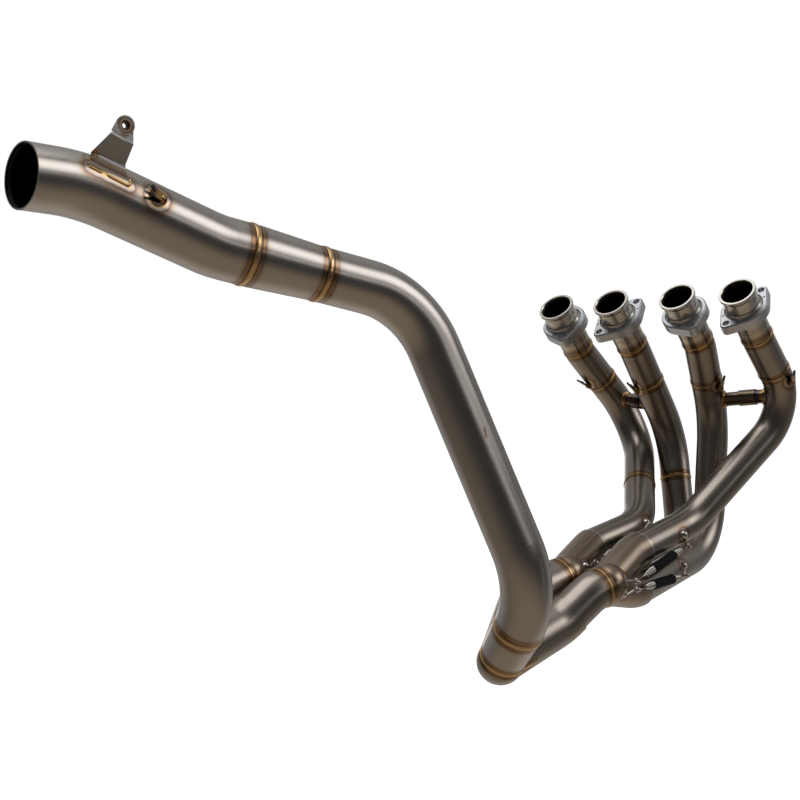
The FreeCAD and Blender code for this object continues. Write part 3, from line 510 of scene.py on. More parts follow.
class Finish:
    """A finish that is put together step by step and ends in one Principled shader."""

    def __init__(self, name, colour, roughness, metallic=1.0):
        self.material = bpy.data.materials.new(name)
        self.material.use_nodes = True
        self.tree = self.material.node_tree
        self.shader = self.tree.nodes["Principled BSDF"]
        self.shader.inputs["Metallic"].default_value = metallic
        coordinates = self.tree.nodes.new("ShaderNodeTexCoord")
        self.position = coordinates.outputs["Object"]
        self.colour = tuple(colour) + (1.0,)
        self.roughness = roughness
        self.height = None

    def add(self, name, **values):
        """Places a shader group, feeds it and takes on what it puts out."""
        if name not in GROUPS:
            GROUPS[name] = BUILDERS[name]()
        node = self.tree.nodes.new("ShaderNodeGroup")
        node.node_tree = GROUPS[name]
        values.update(Position=self.position, Color=self.colour, Roughness=self.roughness)
        for label, value in values.items():
            if label in node.inputs:
                feed(self.tree, node.inputs[label], value)
        self.colour = node.outputs["Color"]
        self.roughness = node.outputs.get("Roughness", self.roughness)
        self.height = node.outputs.get("Height", self.height)
        return self

    def grain(self, turn=(0.0, 0.0, 0.0), cloud=0.16, streak=0.035):
        """Brushed streaks and clouds."""
        return self.add("Satin grain", Turn=turn, Cloud=cloud, Streak=streak)

    def heat(self, centre, axis, reach, heat=1.0, spread=WIDE_SPREAD):
        """Tint beside a weld ring."""
        return self.add("Weld heat", Centre=centre, Axis=axis, Reach=reach, Spread=spread, Heat=heat)

    def spot(self, centre, radius, heat=1.0, run=(0.0, 0.0, 0.0), spread=0.012):
        """Tint round a small weld, or along a run from its centre; also painted shade at a dark gap and round a
        hole.
        """
        return self.add("Spot heat and shade", Centre=centre, Run=run, Radius=radius, Spread=spread, Heat=heat)

    def line(self, centre, axis, half, colour, amount):
        """A thin coloured line round a tube, where a plane cuts it."""
        tint = tuple(colour) + (1.0,)
        return self.add("Thin line", Centre=centre, Axis=axis, Half=half, Tint=tint, Amount=amount)

    def bore_shade(self, centre, axis, depth):
        """Painted shade in the bore behind a mouth."""
        normal = self.tree.nodes.new("ShaderNodeNewGeometry").outputs["True Normal"]
        return self.add("Bore shade", Normal=normal, Centre=centre, Axis=axis, Depth=depth)

    def done(self, bump=0.03, depth=0.00002):
        """The finished material, with its grain as a fine bump."""
        feed(self.tree, self.shader.inputs["Base Color"], self.colour)
        feed(self.tree, self.shader.inputs["Roughness"], self.roughness)
        if self.height is not None:
            relief = self.tree.nodes.new("ShaderNodeBump")
            relief.inputs["Strength"].default_value = bump
            relief.inputs["Distance"].default_value = depth
            feed(self.tree, relief.inputs["Height"], self.height)
            feed(self.tree, self.shader.inputs["Normal"], relief.outputs["Normal"])
        return self.material


def place(name, data):
    """A new object in the scene."""
    piece = bpy.data.objects.new(name, data)
    bpy.context.scene.collection.objects.link(piece)
    return piece


def mesh_piece(name, work, material):
    """An object made from a bmesh, with its material."""
    mesh = bpy.data.meshes.new(name)
    work.to_mesh(mesh)
    work.free()
    mesh.materials.append(material)
    return place(name, mesh)


def wear(name, material):
    """Gives a CAD node its material."""
    mesh = NODES[name].data
    mesh.materials.clear()
    mesh.materials.append(material)


def finish_mesh(name, work, material, replaced=()):
    """Makes an object from a bmesh, gives it a finish and hangs it on the header."""
    piece = mesh_piece(name, work, material)
    for face in piece.data.polygons:
        face.use_smooth = True
    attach(piece, ROOT)
    if replaced:
        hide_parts(*replaced)


def frame_along(axis):
    """Rotation that takes local Z to the axis."""
    return Vector((0, 0, 1)).rotation_difference(Vector(axis).normalized()).to_matrix()


def spoke(axis, turn):
    """Direction square to an axis, at a turn round it."""
    side = axis.orthogonal().normalized()
    return side * cos(turn) + axis.cross(side) * sin(turn)


def turn_of(vector):
    """Angle of a vector round Z."""
    return Vector((1.0, 0.0)).angle_signed(Vector((vector.x, vector.y)), 0.0)


# Ring beads: sides of the section, steps in a ripple, its depth in parts of the height, its lag at the edges in
# radians, its swell in parts of the width, and the bead's drift in mm
BEAD_SIDES = 10
STEPS_A_RIPPLE = 4
RIPPLE_DEPTH = 0.22
RIPPLE_LAG = 1.98
RIPPLE_SWELL = 0.05
BEAD_DRIFT = 0.10


def ring_bead(radius, half, height, pitch):
    """TIG bead round a tube: an oval section spun round Z, with overlapping ripples."""
    work = bmesh.new()
    made = bmesh.ops.create_circle(work, cap_ends=False, segments=BEAD_SIDES, radius=1.0)
    for vert in made["verts"]:
        x, y = vert.co.x, vert.co.y
        vert.co = Vector((radius + height * x, 0.0, half * y))
    ripples = round(2 * pi * radius / pitch)
    section = list(work.edges) + made["verts"]
    bmesh.ops.spin(work, geom=section, cent=(0, 0, 0), axis=(0, 0, 1), angle=2 * pi,
                   steps=ripples * STEPS_A_RIPPLE, use_merge=True)
    for vert in work.verts:
        ripple_vertex(vert, radius, half, height, ripples)
    bmesh.ops.recalc_face_normals(work, faces=work.faces)
    return work


def ripple_vertex(vert, radius, half, height, ripples):
    """Sinks a bead's vertex between ripples that lag behind towards its edges."""
    out = Vector((vert.co.x, vert.co.y, 0.0))
    reach = out.length
    turn = turn_of(out) * ripples + RIPPLE_LAG * (vert.co.z / half) ** 2
    lift = max(0.0, (reach - radius) / height)
    wave = 0.5 + 0.5 * cos(turn)
    drift = BEAD_DRIFT * MM * sin(turn_of(out) * 3 + radius * 900)
    out = out.normalized() * (reach - lift * height * RIPPLE_DEPTH * wave)
    vert.co = Vector((out.x, out.y, vert.co.z * (1 + RIPPLE_SWELL * sin(turn)) + drift))


# Points of a wire nearer to each other than this, in metres, are one
MERGE = 0.000004


def wire_mesh(points, radii, sides=8, closed=False):
    """A wire or bead along a line of points, as a bevelled curve turned into a mesh."""
    curve = bpy.data.curves.new("wire", "CURVE")
    curve.dimensions = "3D"
    curve.bevel_depth = 1.0
    curve.bevel_resolution = max(0, sides // 2 - 2)
    curve.use_fill_caps = not closed
    line = curve.splines.new("POLY")
    line.points.add(len(points) - 1)
    for spot, point, radius in zip(line.points, points, radii):
        spot.co = (*point, 1.0)
        spot.radius = radius
    line.use_cyclic_u = closed
    holder = place("wire", curve)
    made = bpy.data.meshes.new_from_object(holder)
    work = bmesh.new()
    work.from_mesh(made)
    bpy.data.objects.remove(holder)
    bpy.data.curves.remove(curve)
    bpy.data.meshes.remove(made)
    bmesh.ops.remove_doubles(work, verts=work.verts, dist=MERGE)
    return work


def surface_of(name):
    """Search tree of a CAD node's surface."""
    mesh = NODES[name].data
    corners = [vert.co.copy() for vert in mesh.vertices]
    return BVHTree.FromPolygons(corners, [tuple(face.vertices) for face in mesh.polygons])


def along_line(corners, step):
    """Points at even steps along a line of corners in mm."""
    points = []
    for a, b in zip(corners[:-1], corners[1:]):
        count = max(2, round((Vector(b) - Vector(a)).length * MM / step))
        points += [Vector(a).lerp(Vector(b), k / count) for k in range(count)]
    return points + [Vector(corners[-1])]


COLOUR = {"subtype": "COLOR", "size": 3, "min": 0.0, "max": 1.0}
LENGTH = {"subtype": "DISTANCE", "unit": "LENGTH"}


class TubeSettings(bpy.types.PropertyGroup):
    steel: FloatVectorProperty(
        name="Steel", description="Colour of the satin stainless tube", **COLOUR,
        default=(0.42, 0.382, 0.352))
    browned: FloatVectorProperty(
        name="Browned steel", description="Colour of the darker tubes near the engine", **COLOUR,
        default=(0.325, 0.283, 0.245))
    turned: FloatVectorProperty(
        name="Turned steel", description="Colour of the machined spigots", **COLOUR,
        default=(0.56, 0.53, 0.48))
    flange: FloatVectorProperty(
        name="Flange", description="Colour of the satin aluminium flanges",
        **COLOUR, default=(0.56, 0.57, 0.60))
    roughness: FloatProperty(
        name="Satin", description="Roughness of the tube's satin finish", default=0.245, min=0.05, max=0.9)
    heat: FloatProperty(
        name="Heat tint", description="Strength of the tint beside the welds", default=1.0, min=0.0, max=1.5)


class BeadSettings(bpy.types.PropertyGroup):
    half: FloatProperty(
        name="Half width", description="Half the width of a ring bead",
        **LENGTH, default=0.0031, min=0.001, max=0.004)
    height: FloatProperty(
        name="Height", description="How far a ring bead stands off its tube",
        **LENGTH, default=0.0008, min=0.0003, max=0.002)
    pitch: FloatProperty(
        name="Ripple pitch", description="Distance between the bead's ripples",
        **LENGTH, default=0.0017, min=0.0008, max=0.004)
    fillet: FloatProperty(
        name="Fillet", description="Radius of the small fillet beads",
        **LENGTH, default=0.0014, min=0.0005, max=0.003)
    straw: FloatVectorProperty(
        name="Bead", description="Straw colour of the weld metal",
        **COLOUR, default=(0.50, 0.315, 0.15))


class SpringSettings(bpy.types.PropertyGroup):
    wire: FloatProperty(
        name="Wire", description="Radius of the spring wire",
        **LENGTH, default=0.0008, min=0.0003, max=0.002)
    coil: FloatProperty(
        name="Coil", description="Outer radius of the coil",
        **LENGTH, default=0.0042, min=0.002, max=0.01)
    steel: FloatVectorProperty(
        name="Wire colour", description="Colour of the bright spring wire",
        **COLOUR, default=(0.62, 0.61, 0.59))
    rubber: FloatVectorProperty(
        name="Rubber", description="Colour of the rubber sleeves",
        **COLOUR, default=(0.006, 0.006, 0.007))


class StudioSettings(bpy.types.PropertyGroup):
    floor: FloatProperty(
        name="Floor drop", description="Distance of the floor under the lowest tube",
        **LENGTH, default=0.12, min=0.0, max=1.0)
    top: FloatProperty(
        name="Top light", description="Power of the overhead softbox",
        subtype="POWER", default=10.0, min=0.0)


def settings(name):
    return getattr(bpy.context.scene, name)


def ring_heat(finish, node, heat):
    """Adds the tint of every weld ring that lies on a node."""
    points = [vert.co for vert in NODES[node].data.vertices]
    for _, centre, axis, radius in RINGS:
        middle = mm(centre)
        way = Vector(axis).normalized()
        reach = (radius + HEAT_MARGIN) * MM
        if any((p - middle).length < reach and abs((p - middle).dot(way)) < RING_NEAR for p in points[::7]):
            finish.heat(middle, way, reach, heat, WIDE_SPREAD if radius > WIDE_TUBE else NARROW_SPREAD)


def spot_heat(finish, node, heat):
    """Adds the halo of every small weld that lies in a node's box or near it."""
    low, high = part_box(node)
    for centre, radius in SPOTS:
        middle = mm(centre)
        if all(low[k] - SPOT_NEAR < middle[k] < high[k] + SPOT_NEAR for k in range(3)):
            finish.spot(middle, radius * MM, heat)


def tube_finish(node, look):
    """Satin steel of one tube, with its weld tint, painted highlight and shade at its sleeves' mouths, its
    marks, a painted shadow by the bracket's foot and painted shade in its bore.
    """
    pale = node in PALE
    steel = Vector(look.steel if pale else look.browned)
    if node in COLLECTORS:
        steel = steel * COLLECTOR_CAST
    finish = Finish(node + "_steel", steel, look.roughness if pale else look.roughness + BROWNED_ROUGHER)
    finish.grain(TURNS.get(node, PRIMARY_TURN), cloud=0.16, streak=0.035 if pale else 0.01)
    ring_heat(finish, node, look.heat)
    spot_heat(finish, node, look.heat)
    for holder, centre, axis in SLEEVE_MOUTHS:
        if holder == node:
            # Painted highlight on the mouth's lip and a line of painted shade in the gap just inside it
            inside = mm(centre) - Vector(axis) * 0.0012
            finish.line(mm(centre), axis, half=0.0013, colour=SLEEVE_EDGE_HIGHLIGHT, amount=0.9)
            finish.line(inside, axis, half=0.0005, colour=SLEEVE_GAP_SHADE, amount=0.8)
    if node == "outlet_pipe":
        finish.spot(mm(FOOT[0]), 0.0015, look.heat, run=mm(FOOT[1]) - mm(FOOT[0]), spread=0.014)
        # Painted shadow in the dark gap at the bracket foot's left end
        finish.spot(mm(FOOT_GAP_SHADOW), 0.0048, spread=0.005)
    if node == "link_pipe":
        finish.spot(mm(SCRATCH[0]), 0.0014, run=mm(SCRATCH[1]) - mm(SCRATCH[0]), spread=0.0012)
    # Painted shade deep in the bore behind each mouth
    for holder, centre, axis, depth in MOUTHS:
        if holder == node or (holder[-1] == node[-1] and node.startswith("primary_upper")):
            finish.bore_shade(mm(centre), axis, depth * MM)
    return finish.done(bump=0.012 if pale else 0.008)


class HEADER_OT_tubes(bpy.types.Operator):
    """Satin stainless finish with heat tint on every tube"""
    bl_idname = "header.tubes"
    bl_label = "Finish the tubes"

    def execute(self, context):
        for node in TUBES:
            wear(node, tube_finish(node, settings("header_tubes")))
        return {"FINISHED"}


class HEADER_OT_spigots(bpy.types.Operator):
    """Machined spigots with painted shade in the bore and a browned neck"""
    bl_idname = "header.spigots"
    bl_label = "Finish the spigots"

    def execute(self, context):
        look = settings("header_tubes")
        for holder, centre, axis, depth in PORT_MOUTHS:
            finish = Finish(holder + "_steel", look.turned, 0.24)
            finish.grain(PORT_TURN, cloud=0.10, streak=0.05)
            finish.heat(mm(centre) - Vector(axis) * NECK_WELD, Vector(axis), reach=0.034, heat=look.heat)
            finish.heat(mm(centre) - Vector(axis) * NECK_TINT, Vector(axis), reach=0.026, heat=0.35)
            # Painted shade deep in the spigot's bore
            finish.bore_shade(mm(centre), axis, depth * MM)
            wear(holder, finish.done())
        return {"FINISHED"}


class HEADER_OT_flanges(bpy.types.Operator):
    """Satin aluminium on the loose head flanges"""
    bl_idname = "header.flanges"
    bl_label = "Finish the flanges"

    def execute(self, context):
        finish = Finish("flange_aluminium", settings("header_tubes").flange, 0.40)
        material = finish.grain(PORT_TURN, cloud=0.10, streak=0.04).done(bump=0.2)
        for i in (1, 2, 3, 4):
            wear("head_flange_%d" % i, material)
        return {"FINISHED"}


def balance_finish(name, a, b):
    """Dark balance tube with tint at both ends, and a blue and a black ring at its far end."""
    way = (b - a).normalized()
    finish = Finish(name + "_steel", BALANCE_STEEL, 0.24)
    finish.grain((0.0, 0.0, 1.5))
    for end in (a + way * 0.0195, b - way * 0.0205):
        finish.heat(end, way, reach=0.02, heat=0.9, spread=0.009)
    finish.line(b - way * 0.026, way, half=0.0012, colour=BALANCE_BLUE, amount=0.9)
    finish.line(b - way * 0.0285, way, half=0.0010, colour=BALANCE_BLACK, amount=0.9)
    return finish.done()


def bracket_finish(heat):
    """Speckled dark web, tab painted pale as the face that catches the light, with three weld marks, and a
    bronzed foot.
    """
    finish = Finish("bracket_sheet", BRACKET_WEB, 0.42)
    tree = finish.tree
    top = mm(BRACKET_TOP_FOLD[0]) + mm(BRACKET_TOP_FOLD[1])
    fold = mm(BRACKET_FOLD[0]) + mm(BRACKET_FOLD[1])
    rise = (top - fold).normalized()
    above, below = (0.0, 1.0), (1.0, 0.0)
    # Above the top fold the sheet is painted pale as a lit face; below the lower fold it is bronzed
    for edge, ends, colour in ((top, above, BRACKET_LIT_TAB), (fold, below, BRACKET_BRONZE)):
        level = dot(tree, away_from(tree, finish.position, edge / 2), rise)
        side = span_node(tree, level, -0.0004, 0.0004, *ends)
        finish.colour = mix_colour(tree, side, finish.colour, colour + (1.0,))
        # Painted highlight: a near-white line along the fold
        ridge_highlight = span_node(tree, math_node(tree, "ABSOLUTE", level), 0.0002, 0.0011, 1.0, 0.0)
        finish.colour = mix_colour(tree, ridge_highlight, finish.colour, BRACKET_RIDGE_HIGHLIGHT)
    finish.grain((0.6, 0.5, 0.9), cloud=0.55, streak=0.10)
    for mark in TAB_WELDS:
        finish.spot(mm(mark), 0.0014, spread=0.0045)
    # Round the hole: painted shade on the rim, then the heat rings of the nut's weld
    finish.spot(mm(BRACKET_HOLE), 0.0052, spread=0.0045)
    # Painted shadow in the dark gap at the foot's left end
    finish.spot(mm(FOOT_GAP_SHADOW), 0.0048, spread=0.005)
    finish.spot(mm(FOOT[0]), 0.0012, heat, run=mm(FOOT[1]) - mm(FOOT[0]), spread=0.016)
    return finish.done(bump=0.25)


def cleat_finish(node):
    """Straw foot that turns burnt blue and black towards the horns."""
    low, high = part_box(node)
    middle = (low + high) / 2
    spot = next(mm(centre) for centre, _ in SPOTS if (mm(centre) - middle).length < 0.02)
    finish = Finish(node + "_steel", CLEAT_TINT[-1][1], 0.22)
    finish.grain(cloud=1.2, streak=0.05)
    tree = finish.tree
    away = vector_node(tree, "LENGTH", away_from(tree, finish.position, spot))
    ragged = times(tree, wander_node(tree, finish.position, 240.0), 0.006)
    factor = span_node(tree, plus(tree, away, ragged), 0.001, 0.013, kind="LINEAR")
    finish.colour = mix_colour(tree, 0.85, finish.colour, ramp_node(tree, factor, CLEAT_TINT))
    return finish.done(bump=0.4, depth=0.0002)


class HEADER_OT_small_parts(bpy.types.Operator):
    """Balance tubes, spring posts, cleats, brackets and nut"""
    bl_idname = "header.small_parts"
    bl_label = "Finish the small parts"

    def execute(self, context):
        for tag, pair, a, b in BALANCE:
            for name in ("balance_stub_%d" % pair[0], "balance_stub_%d" % pair[1], "balance_sleeve_" + tag):
                wear(name, balance_finish(name, mm(a), mm(b)))
        posts = Finish("post_steel", POST_STEEL, 0.14).grain(cloud=0.5, streak=0.02).done(bump=0.3)
        wear("spring_posts_12", posts)
        wear("spring_posts_34", posts)
        for name in ("cleat_1", "cleat_2", "cleat_3", "cleat_4", "outlet_cleat"):
            wear(name, cleat_finish(name))
        wear("outlet_bracket", bracket_finish(settings("header_tubes").heat))
        wear("bracket_nut", Finish("nut_steel", NUT_STEEL, 0.3).grain().done())
        tab = Finish("tab_sheet", TAB_SHEET, 0.36)
        wear("tab_bracket", tab.grain((0.2, 0.3, 0.9), cloud=0.4, streak=0.08).done(bump=0.3))
        return {"FINISHED"}


# Beads on the browned tubes beside those on the pale ones
NARROWER = 0.62
LOWER = 0.8


class HEADER_OT_ring_beads(bpy.types.Operator):
    """Rippled TIG bead on every ring weld"""
    bl_idname = "header.ring_beads"
    bl_label = "Add the ring beads"

    def execute(self, context):
        look = settings("header_beads")
        for node, centre, axis, radius in RINGS:
            pale = node in PALE
            half = look.half if pale else look.half * NARROWER
            height = look.height if pale else look.height * LOWER
            work = ring_bead(radius * MM, half, height, look.pitch)
            seat = Matrix.Translation(mm(centre)) @ frame_along(axis).to_4x4()
            bmesh.ops.transform(work, matrix=seat, verts=work.verts)
            finish = Finish(node + "_bead", look.straw, 0.30).grain(cloud=0.9, streak=0.1)
            spread = WIDE_SPREAD if pale else NARROW_SPREAD
            finish.heat(mm(centre), Vector(axis).normalized(), (radius + HEAT_MARGIN) * MM, 0.75, spread)
            finish_mesh("bead_" + node, work, finish.done(bump=0.3))
        return {"FINISHED"}


# Fillet beads: the stub's radius, where the search for the primary starts and how far it goes, the bead's
# lift, a stitch's step and its ripple, all in metres, and the points round a stub
STUB_RADIUS = 0.0092
STUB_FAR = 0.04
STUB_CAST = 0.06
BEAD_LIFT = 0.0002
STITCH_STEP = 0.0006
STITCH_RIPPLE = 0.0016
STUB_POINTS = 72


def stub_loop(cylinder, start, way):
    """Points round a balance tube where it meets its primary."""
    surface = surface_of("primary_main_%d" % cylinder)
    loop = []
    for k in range(STUB_POINTS):
        origin = start + spoke(way, 2 * pi * k / STUB_POINTS) * STUB_RADIUS + way * STUB_FAR
        loop.append(surface.ray_cast(origin, way * -1, STUB_CAST)[0] + way * BEAD_LIFT)
    return loop


def stitch_radii(count, radius, lumps, start):
    """Bead radii that swell and sink like weld ripples, and fade at the ends."""
    radii = []
    for k in range(count):
        share = k / (count - 1)
        swell = 1 + 0.14 * cos(2 * pi * lumps * share + start)
        fade = min(1.0, 6 * share + 0.45, 6 * (1 - share) + 0.45)
        radii.append(radius * swell * fade)
    return radii


class HEADER_OT_fillet_beads(bpy.types.Operator):
    """Fillet beads at the balance stubs and the bracket's foot"""
    bl_idname = "header.fillet_beads"
    bl_label = "Add the fillet beads"

    def execute(self, context):
        look = settings("header_beads")
        gold = Finish("fillet_weld", look.straw, 0.2).grain(cloud=1.4, streak=0.1).done(bump=0.4)
        radii = [look.fillet * (1 + 0.12 * cos(2 * pi * k / 4)) for k in range(STUB_POINTS)]
        for _, pair, a, b in BALANCE:
            way = (mm(b) - mm(a)).normalized()
            for cylinder, start, out in ((pair[0], mm(a), way), (pair[1], mm(b), way * -1)):
                work = wire_mesh(stub_loop(cylinder, start, out), radii, closed=True)
                finish_mesh("stub_weld_%d" % cylinder, work, gold)
        pipe = surface_of("outlet_pipe")
        for number, corners in enumerate(STITCHES, 1):
            points = [pipe.find_nearest(mm(p))[0] for p in along_line(corners, STITCH_STEP)]
            lumps = round(len(points) * STITCH_STEP / STITCH_RIPPLE)
            radii = stitch_radii(len(points), look.fillet, lumps, number)
            finish_mesh("bracket_stitch_%d" % number, wire_mesh(points, radii), gold)
        return {"FINISHED"}


class HEADER_OT_thread(bpy.types.Operator):
    """Fine thread inside the bracket's weld nut, painted dark for the shade in its bore"""
    bl_idname = "header.thread"
    bl_label = "Cut the nut's thread"

    def execute(self, context):
        centre, axis = mm(NUT[0]), Vector(NUT[1]).normalized()
        points = []
        for k in range(round(THREAD_TURNS * THREAD_STEPS) + 1):
            turns = k / THREAD_STEPS
            along = axis * (THREAD_PITCH * (turns - THREAD_TURNS / 2))
            points.append(centre + along + spoke(axis, 2 * pi * turns) * THREAD_RADIUS)
        dark = Finish("thread_shaded_steel", THREAD_SHADED_STEEL, 0.35).done()
        work = wire_mesh(points, [THREAD_WIRE] * len(points), sides=6)
        finish_mesh("nut_thread", work, dark)
        return {"FINISHED"}


class HEADER_OT_springs(bpy.types.Operator):
    """Close-wound springs with hooked ends, and their rubber sleeves"""
    bl_idname = "header.springs"
    bl_label = "Wind the springs"

    def execute(self, context):
        look = settings("header_springs")
        steel = Finish("spring_wire", look.steel, 0.16).grain(cloud=0.3, streak=0.05).done(bump=0.2)
        rubber = Finish("rubber_sleeve", look.rubber, 0.65, metallic=0.0)
        rubber.shader.inputs["Specular IOR Level"].default_value = 0.10
        rubber = rubber.grain(cloud=0.4, streak=0.05).done(bump=0.5)
        for number, (a, a_out), (b, b_out) in SPRINGS:
            points = hook(mm(a), mm(b), Vector(a_out), look.wire)[::-1]
            points += coil(mm(a), mm(b), look.wire, look.coil - look.wire)
            points += hook(mm(b), mm(a), Vector(b_out), look.wire)
            work = wire_mesh(points, [look.wire] * len(points))
            finish_mesh("coil_%d" % number, work, steel, replaced=("spring_%d" % number,))
            wear("spring_rubber_%d" % number, rubber)
        return {"FINISHED"}


# Springs: radius of the hooks' loops, how far these are pulled towards the coil and the coil's radius at its
# ends, in metres; points in a hook and in a turn; where the coil starts, is full, shrinks and stops
HOOK_RADIUS = 0.003
HOOK_PULL = 0.00075
NECK_RADIUS = 0.0016
HOOK_STEPS = 26
COIL_STEPS = 14
COIL_PLACES = (0.13, 0.22, 0.74, 0.83)

# Winding pitch and gap between a hook's ends in radii of the wire, and the hook's start and turn in degrees
COIL_PITCH = 2.05
HOOK_GAP = 1.9
HOOK_START = -20
HOOK_SWEEP = 400


def hook(origin, other, out, wire):
    """Points of the loop at a spring's end, a little over one turn."""
    way = (other - origin).normalized()
    cross = out.cross(way).normalized()
    centre = origin + way * HOOK_PULL
    points = []
    for k in range(HOOK_STEPS + 1):
        turn = radians(HOOK_START + HOOK_SWEEP * k / HOOK_STEPS)
        lift = out * (wire * HOOK_GAP * (k / HOOK_STEPS - 0.5))
        points.append(centre + way * HOOK_RADIUS * cos(turn) + cross * HOOK_RADIUS * sin(turn) + lift)
    return points


def coil(a, b, wire, mean):
    """Points of the close winding between the hooks, narrow at both ends."""
    axis = (b - a).normalized()
    length = (b - a).length
    start, full, shrinking, stop = (share * length for share in COIL_PLACES)
    total = int((stop - start) / (COIL_PITCH * wire) * COIL_STEPS)
    points = []
    for k in range(total + 1):
        along = start + (stop - start) * k / total
        grown = min(1.0, (along - start) / (full - start), (stop - along) / (stop - shrinking))
        size = NECK_RADIUS + (mean - NECK_RADIUS) * grown
        points.append(a + axis * along + spoke(axis, 2 * pi * k / COIL_STEPS) * size)
    return points


class HEADER_OT_studio(bpy.types.Operator):
    """Pale floor, soft light, surround and the camera"""
    bl_idname = "header.studio"
    bl_label = "Set up the studio"

    def execute(self, context):
        look = settings("header_studio")
        scene = context.scene
        scene.view_settings.view_transform = "Standard"
        studio_world(scene)
        make_floor(CAD_BOX[0][2] - look.floor)
        add_softbox(look.top)
        add_camera(scene)
        return {"FINISHED"}


def make_floor(height):
    """White floor that keeps the shadow and that metal looks through."""
    work = bmesh.new()
    seat = Matrix.Translation((0.0, 0.0, height))
    bmesh.ops.create_grid(work, x_segments=1, y_segments=1, size=FLOOR_HALF, matrix=seat)
    mesh_piece("floor", work, floor_material())


def floor_material():
    """White that glows a little for the camera and lets reflections look through it."""
    material = bpy.data.materials.new("floor_white")
    material.use_nodes = True
    tree = material.node_tree
    tree.nodes.remove(tree.nodes["Principled BSDF"])
    path = tree.nodes.new("ShaderNodeLightPath")
    diffuse = tree.nodes.new("ShaderNodeBsdfDiffuse")
    diffuse.inputs["Color"].default_value = FLOOR_GREY
    glow = tree.nodes.new("ShaderNodeEmission")
    glow.inputs["Color"].default_value = WHITE
    feed(tree, glow.inputs["Strength"], times(tree, path.outputs["Is Camera Ray"], FLOOR_GLOW))
    both = tree.nodes.new("ShaderNodeAddShader")
    tree.links.new(diffuse.outputs[0], both.inputs[0])
    tree.links.new(glow.outputs[0], both.inputs[1])
    clear = tree.nodes.new("ShaderNodeBsdfTransparent")
    surface = mix_shaders(tree, path.outputs["Is Glossy Ray"], both, clear)
    tree.links.new(surface, tree.nodes["Material Output"].inputs["Surface"])
    return material


def mix_shaders(tree, factor, first, second):
    mix = tree.nodes.new("ShaderNodeMixShader")
    feed(tree, mix.inputs["Fac"], factor)
    tree.links.new(first.outputs[0], mix.inputs[1])
    tree.links.new(second.outputs[0], mix.inputs[2])
    return mix.outputs[0]


def panel_light(tree, direction, azimuth, elevation, half_width, half_height, soft):
    """Brightness of a soft-edged rectangle on the surround."""
    a, e = radians(azimuth), radians(elevation)
    centre = TOWARD * cos(e) * cos(a) + RIGHT * cos(e) * sin(a) + UP * sin(e)
    across = UP.cross(centre).normalized()
    upward = centre.cross(across)
    sides = []
    for way, half in ((across, half_width), (upward, half_height)):
        off = math_node(tree, "ABSOLUTE", dot(tree, direction, way / half))
        sides.append(span_node(tree, off, 1.0 - soft, 1.0 + soft, 1.0, 0.0))
    front = math_node(tree, "GREATER_THAN", dot(tree, direction, centre), 0.0)
    return times(tree, times(tree, sides[0], sides[1]), front)


def studio_world(scene):
    """White for the camera; for the metal a dark front, warm floor, pale back and bright panels."""
    world = bpy.data.worlds.new("studio")
    scene.world = world
    world.use_nodes = True
    tree = world.node_tree
    direction = tree.nodes.new("ShaderNodeTexCoord").outputs["Generated"]
    facing = dot(tree, direction, TOWARD)
    height = dot(tree, direction, UP)
    back = span_node(tree, facing, 0.0, -0.75, 0.0, BACK_GLOW)
    top = span_node(tree, height, 0.6, 0.95, 0.0, TOP_GLOW)
    total = plus(tree, plus(tree, back, top), BASE_GLOW)
    for *panel, glow in PANELS:
        total = plus(tree, total, times(tree, panel_light(tree, direction, *panel), glow))
    neutral = vector_node(tree, "SCALE", (1.0, 1.0, 1.0), scale=total)
    low = span_node(tree, height, -0.15, -0.85, 0.0, 1.0)
    warm = vector_node(tree, "SCALE", WARM_FLOOR, scale=low)
    dim = tree.nodes["Background"]
    feed(tree, dim.inputs["Color"], vector_node(tree, "ADD", neutral, warm))
    white = tree.nodes.new("ShaderNodeBackground")
    white.inputs["Color"].default_value = WHITE
    path = tree.nodes.new("ShaderNodeLightPath")
    seen = math_node(tree, "MAXIMUM", path.outputs["Is Camera Ray"], path.outputs["Is Transmission Ray"])
    tree.links.new(mix_shaders(tree, seen, dim, white), tree.nodes["World Output"].inputs["Surface"])


def add_softbox(power):
    """Square area light over the object."""
    lamp = bpy.data.lights.new("top_softbox", "AREA")
    lamp.shape = "SQUARE"
    lamp.size = SOFTBOX_SIDE
    lamp.energy = power
    holder = place("top_softbox", lamp)
    holder.location = SOFTBOX_TARGET + Vector((0.0, 0.0, SOFTBOX_RISE))
    holder.rotation_euler = (SOFTBOX_TARGET - holder.location).to_track_quat("-Z", "Y").to_euler()


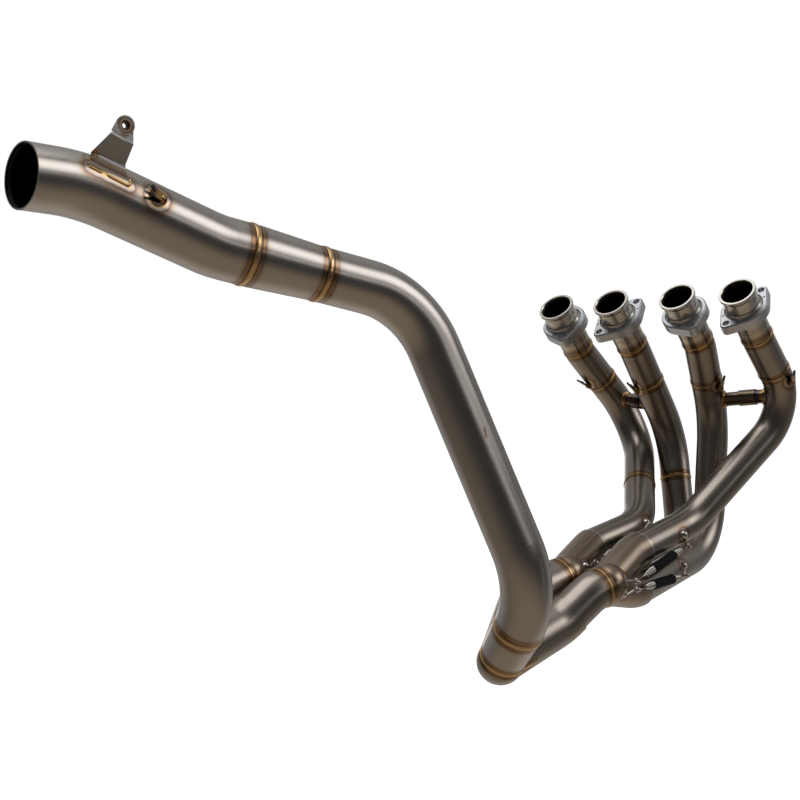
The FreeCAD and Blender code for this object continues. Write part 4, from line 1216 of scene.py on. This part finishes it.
def add_camera(scene):
    """Camera at the photograph's place and angle."""
    lens = bpy.data.cameras.new("camera")
    lens.lens = 72.0
    lens.sensor_width = 36.0
    lens.clip_end = 50.0
    holder = place("camera", lens)
    turn = Matrix((RIGHT, UP, TOWARD)).transposed().to_4x4()
    holder.matrix_world = Matrix.Translation(mm(CAMERA)) @ turn
    scene.camera = holder


class HEADER_PT_panel(bpy.types.Panel):
    """Sizes, colours and steps of the exhaust header"""
    bl_idname = "HEADER_PT_panel"
    bl_label = "Exhaust header"
    bl_space_type = "VIEW_3D"
    bl_region_type = "UI"
    bl_category = "Exhaust header"

    def draw(self, context):
        for name, group_class in GROUP_CLASSES:
            box = self.layout.box()
            for prop in group_class.__annotations__:
                box.prop(getattr(context.scene, name), prop)
        for operator in OPERATORS:
            self.layout.operator(operator.bl_idname)


GROUP_CLASSES = [
    ("header_tubes", TubeSettings), ("header_beads", BeadSettings), ("header_springs", SpringSettings),
    ("header_studio", StudioSettings),
]
OPERATORS = [
    HEADER_OT_tubes, HEADER_OT_spigots, HEADER_OT_flanges, HEADER_OT_small_parts, HEADER_OT_ring_beads,
    HEADER_OT_fillet_beads, HEADER_OT_thread, HEADER_OT_springs, HEADER_OT_studio,
]


def register():
    for name, group_class in GROUP_CLASSES:
        bpy.utils.register_class(group_class)
        setattr(bpy.types.Scene, name, PointerProperty(type=group_class))
    for operator in OPERATORS:
        bpy.utils.register_class(operator)
    bpy.utils.register_class(HEADER_PT_panel)


def unregister():
    bpy.utils.unregister_class(HEADER_PT_panel)
    for operator in reversed(OPERATORS):
        bpy.utils.unregister_class(operator)
    for name, group_class in reversed(GROUP_CLASSES):
        delattr(bpy.types.Scene, name)
        bpy.utils.unregister_class(group_class)


def main():
    register()
    bpy.ops.header.tubes()
    bpy.ops.header.spigots()
    bpy.ops.header.flanges()
    bpy.ops.header.small_parts()
    bpy.ops.header.ring_beads()
    bpy.ops.header.fillet_beads()
    bpy.ops.header.thread()
    bpy.ops.header.springs()
    bpy.ops.header.studio()


if __name__ == "__main__":
    main()
